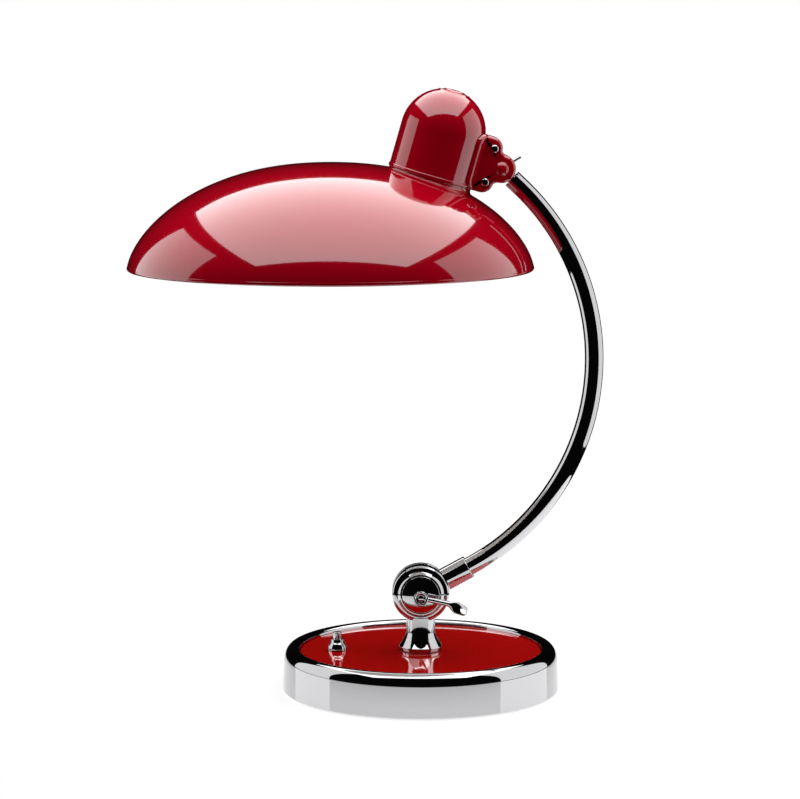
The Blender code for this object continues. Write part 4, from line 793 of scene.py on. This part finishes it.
# The flange is a bent slab: the part of an oval window on this half's side, wrapped round the neck.
WINDOW = 0.0180  # how far it reaches to the side
window = np.concatenate(
    [
        arc((WINDOW - LOBE, BRACKET_HALF - LOBE), (LOBE, LOBE), 0, 90, 24),
        [(SPLIT, BRACKET_HALF), (SPLIT, -BRACKET_HALF)],
        arc((WINDOW - LOBE, LOBE - BRACKET_HALF), (LOBE, LOBE), -90, 0, 24),
    ]
)
window_middle = np.array([0.0085, 0])
window = resampled(window - window_middle, 200)
sheet_profile = [(0, 0), (0, FLANGE - 0.0009), (0.0003, FLANGE - 0.0004), (0.0009, FLANGE)]
flange = slab(window, sheet_profile, 16)
for name, sign in (("front", 1), ("rear", -1)):
    away = sign * FRONT
    rows = ball + body[..., :1] * neck_out + body[..., 1:2] * neck_axis + body[..., 2:] * away
    across = flange[..., 0] + window_middle[0]
    radius = NECK_RADIUS + GAP + flange[..., 2]
    wrapped = seam + (BALL_ABOVE + flange[..., 1:2]) * neck_axis
    wrapped = wrapped + np.sqrt(radius**2 - across**2)[..., None] * neck_out + across[..., None] * away
    half = mesh_of(f"bracket_{name}_lacquer", shell(rows), shell(wrapped), crease=50)
    show(f"bracket_{name}_lacquer", half, "shade", lacquer, "red_lacquer", f"bracket_{name}")

# %% Bracket screws: a domed head made of a low disc and two half moons, with the slot between them
HEAD, DOME, SLOT_DEPTH = 0.0016, 0.0012, 0.0007
HEAD_RADIUS = 0.0028
seat = HALF + GAP
slot_floor = seat + HEAD - SLOT_DEPTH
meets_floor = HEAD_RADIUS * math.sqrt(1 - ((DOME - SLOT_DEPTH) / DOME) ** 2)
dome_foot = seat + HEAD - DOME
disc_edge = arc((0, dome_foot), (HEAD_RADIUS, DOME), 0, 24.6, 10)[::-1]
THREAD_RADIUS = 0.0016
thread_end = -seat - 0.0025
screw_profile = np.concatenate(
    [
        [(0, slot_floor)],
        disc_edge,
        [(HEAD_RADIUS, seat), (THREAD_RADIUS, seat), (THREAD_RADIUS, thread_end), (0, thread_end)],
    ]
)
half_moon = np.radians(np.linspace(10, 170, 40))
moon_at = np.array([0, 0.0012])  # a point inside the half moon, which slab closes on
moon = meets_floor * np.stack([np.cos(half_moon), np.sin(half_moon)], -1)
moon = slab(resampled(moon - moon_at, 80), [(0, 0), (0, 1)], 10)
u, v = moon[..., 0], moon[..., 1] + moon_at[1]
crown_at = dome_foot + DOME * np.sqrt(1 - np.minimum((u**2 + v**2) / HEAD_RADIUS**2, 1))
w = np.where(moon[..., 2] > 0.5, crown_at, slot_floor - 0.0001)
SCREW_BACK, SCREW_SIDE = 0.0087, 0.0119  # from the ball, towards the neck and along its axis
SLOT_TURN = math.radians(60)
for name, sign in (("upper", 1), ("lower", -1)):
    place = ball - neck_out * SCREW_BACK + neck_axis * sign * SCREW_SIDE
    parts = [shell(turned(screw_profile, place, FRONT, 64))]
    for turn_by in (SLOT_TURN * sign, SLOT_TURN * sign + math.pi):
        x = u * math.cos(turn_by) - v * math.sin(turn_by)
        y = u * math.sin(turn_by) + v * math.cos(turn_by)
        half_head = place + x[..., None] * neck_out + y[..., None] * neck_axis + w[..., None] * FRONT
        parts.append(shell(half_head))
    show_chrome(f"bracket_screw_{name}_chrome", "shade", f"bracket_screw_{name}", *parts)

# %% [markdown]
# ## What stays as it is
# Small and hidden parts keep the working model's own shape. They still get real finishes, one for each
# material that the record names, so the underside and the inside of the shade look right too.

# %% Finishes on the parts that stay
finish_of = {
    "red_lacquer": lacquer,
    "chrome_plate": chrome,
    "zinc_plate": zinc,
    "cast_iron": iron,
    "black_rubber": rubber,
    "brass": brass,
    "fibre": fibre,
    "black_plastic": phenolic,
    "porcelain": porcelain,
    "bulb_shell": rolled,
    "opal_glass": opal,
}
for part in frame["record"]["subparts"]:
    node = frame["nodes"][part["node"]]
    node.data.materials.clear()
    node.data.materials.append(finish_of[part["material_slot"]])
kept = [part["node"] for part in frame["record"]["subparts"]]
kept = [node for node in kept if not frame["nodes"][node].hide_render]
print(len(kept), "parts keep their own shape:", ", ".join(kept))

# %% [markdown]
# ## The studio
# Gloss and chrome show the room, so the room is the real subject. This one is a small product set: a
# wide softbox overhead that starts a little in front of the lamp and runs far behind it, and an upright
# panel close by on each side. The front stays dark, which gives every tube its black centre line and
# the red cap its deep middle. The table is white and polished, so at a low angle it mirrors the side
# panels into the wall of the base.

# %% Table, sky, softboxes
def softbox(name, place, target, width, height, radiance):
    """A rectangular area light that faces a target. Its power is radiance times area times pi."""
    light = bpy.data.lights.new(name, "AREA")
    light.shape = "RECTANGLE"
    light.size, light.size_y = width, height
    light.energy = radiance * width * height * math.pi
    lamp = bpy.data.objects.new(name, light)
    bpy.context.scene.collection.objects.link(lamp)
    away = np.array(place, float) - np.array(target, float)
    away /= np.linalg.norm(away)
    helper = [0, 1, 0] if abs(away[2]) > 0.9 else [0, 0, 1]
    right = np.cross(helper, away)
    right /= np.linalg.norm(right)
    turn_and_place = np.c_[right, np.cross(away, right), away, place]
    lamp.matrix_world = Matrix(np.r_[turn_and_place, [[0, 0, 0, 1]]].tolist())
    lamp.visible_camera = False


TABLE_RADIUS, TABLE_THICK = 0.33, 0.02
table_profile = [(0, 0), (TABLE_RADIUS, 0), (TABLE_RADIUS, -TABLE_THICK), (0, -TABLE_THICK)]
table_rows = turned(table_profile, origin, UP, 128)
table_mesh = mesh_of("studio_table", shell(table_rows))
table = bpy.data.objects.new("studio_table", table_mesh)
bpy.context.scene.collection.objects.link(table)
polish = {"Roughness": 0.9, "Coat_Weight": 1.0}
table_finish, table_tree, table_shader = new_finish("polished_white_table", **polish)
table_tone = spread(table_tree, grain(table_tree, 3), 0.36, 0.40)
table_tree.links.new(table_tone.outputs["Result"], table_shader.inputs["Base Color"])
table_shader.inputs["Emission Color"].default_value = (1, 1, 1, 1)
table_shader.inputs["Emission Strength"].default_value = 1.08
table_mesh.materials.append(table_finish)

world = bpy.data.worlds.new("studio")
world.use_nodes = True
bpy.context.scene.world = world
tree = world.node_tree
tree.nodes.clear()
white = add_node(tree, "ShaderNodeBackground", {"Color": (1, 1, 1, 1), "Strength": 1.0})
dim = add_node(tree, "ShaderNodeBackground", {"Color": (1, 1, 1, 1), "Strength": 0.003})
seen = add_node(tree, "ShaderNodeLightPath")
mix = add_node(tree, "ShaderNodeMixShader", Fac=(seen, "Is Camera Ray"))
tree.links.new(dim.outputs["Background"], mix.inputs[1])
tree.links.new(white.outputs["Background"], mix.inputs[2])
add_node(tree, "ShaderNodeOutputWorld", Surface=(mix, "Shader"))

softbox("overhead", (-0.02, 0.25, 1.30), (-0.02, 0.25, 0), 1.80, 2.1, 2.8)
softbox("left_panel", (-0.45, 0.065, 0.31), (0, 0.065, 0.31), 0.39, 0.62, 1.3)
softbox("right_panel", (0.45, 0.02, 0.36), (0, 0.02, 0.36), 0.50, 0.72, 1.3)

camera_data = bpy.data.cameras.new("camera")
camera = bpy.data.objects.new("camera", camera_data)
bpy.context.scene.collection.objects.link(camera)
camera.location = (-0.0146, -1.957, 0.4567)
camera.rotation_euler = (math.radians(90 - 7.3), 0, 0)
camera_data.lens, camera_data.sensor_width = 127, 36
camera_data.clip_start = 0.05
bpy.context.scene.camera = camera
bpy.context.scene.view_settings.view_transform = "Standard"
bpy.context.scene.view_settings.look = "None"
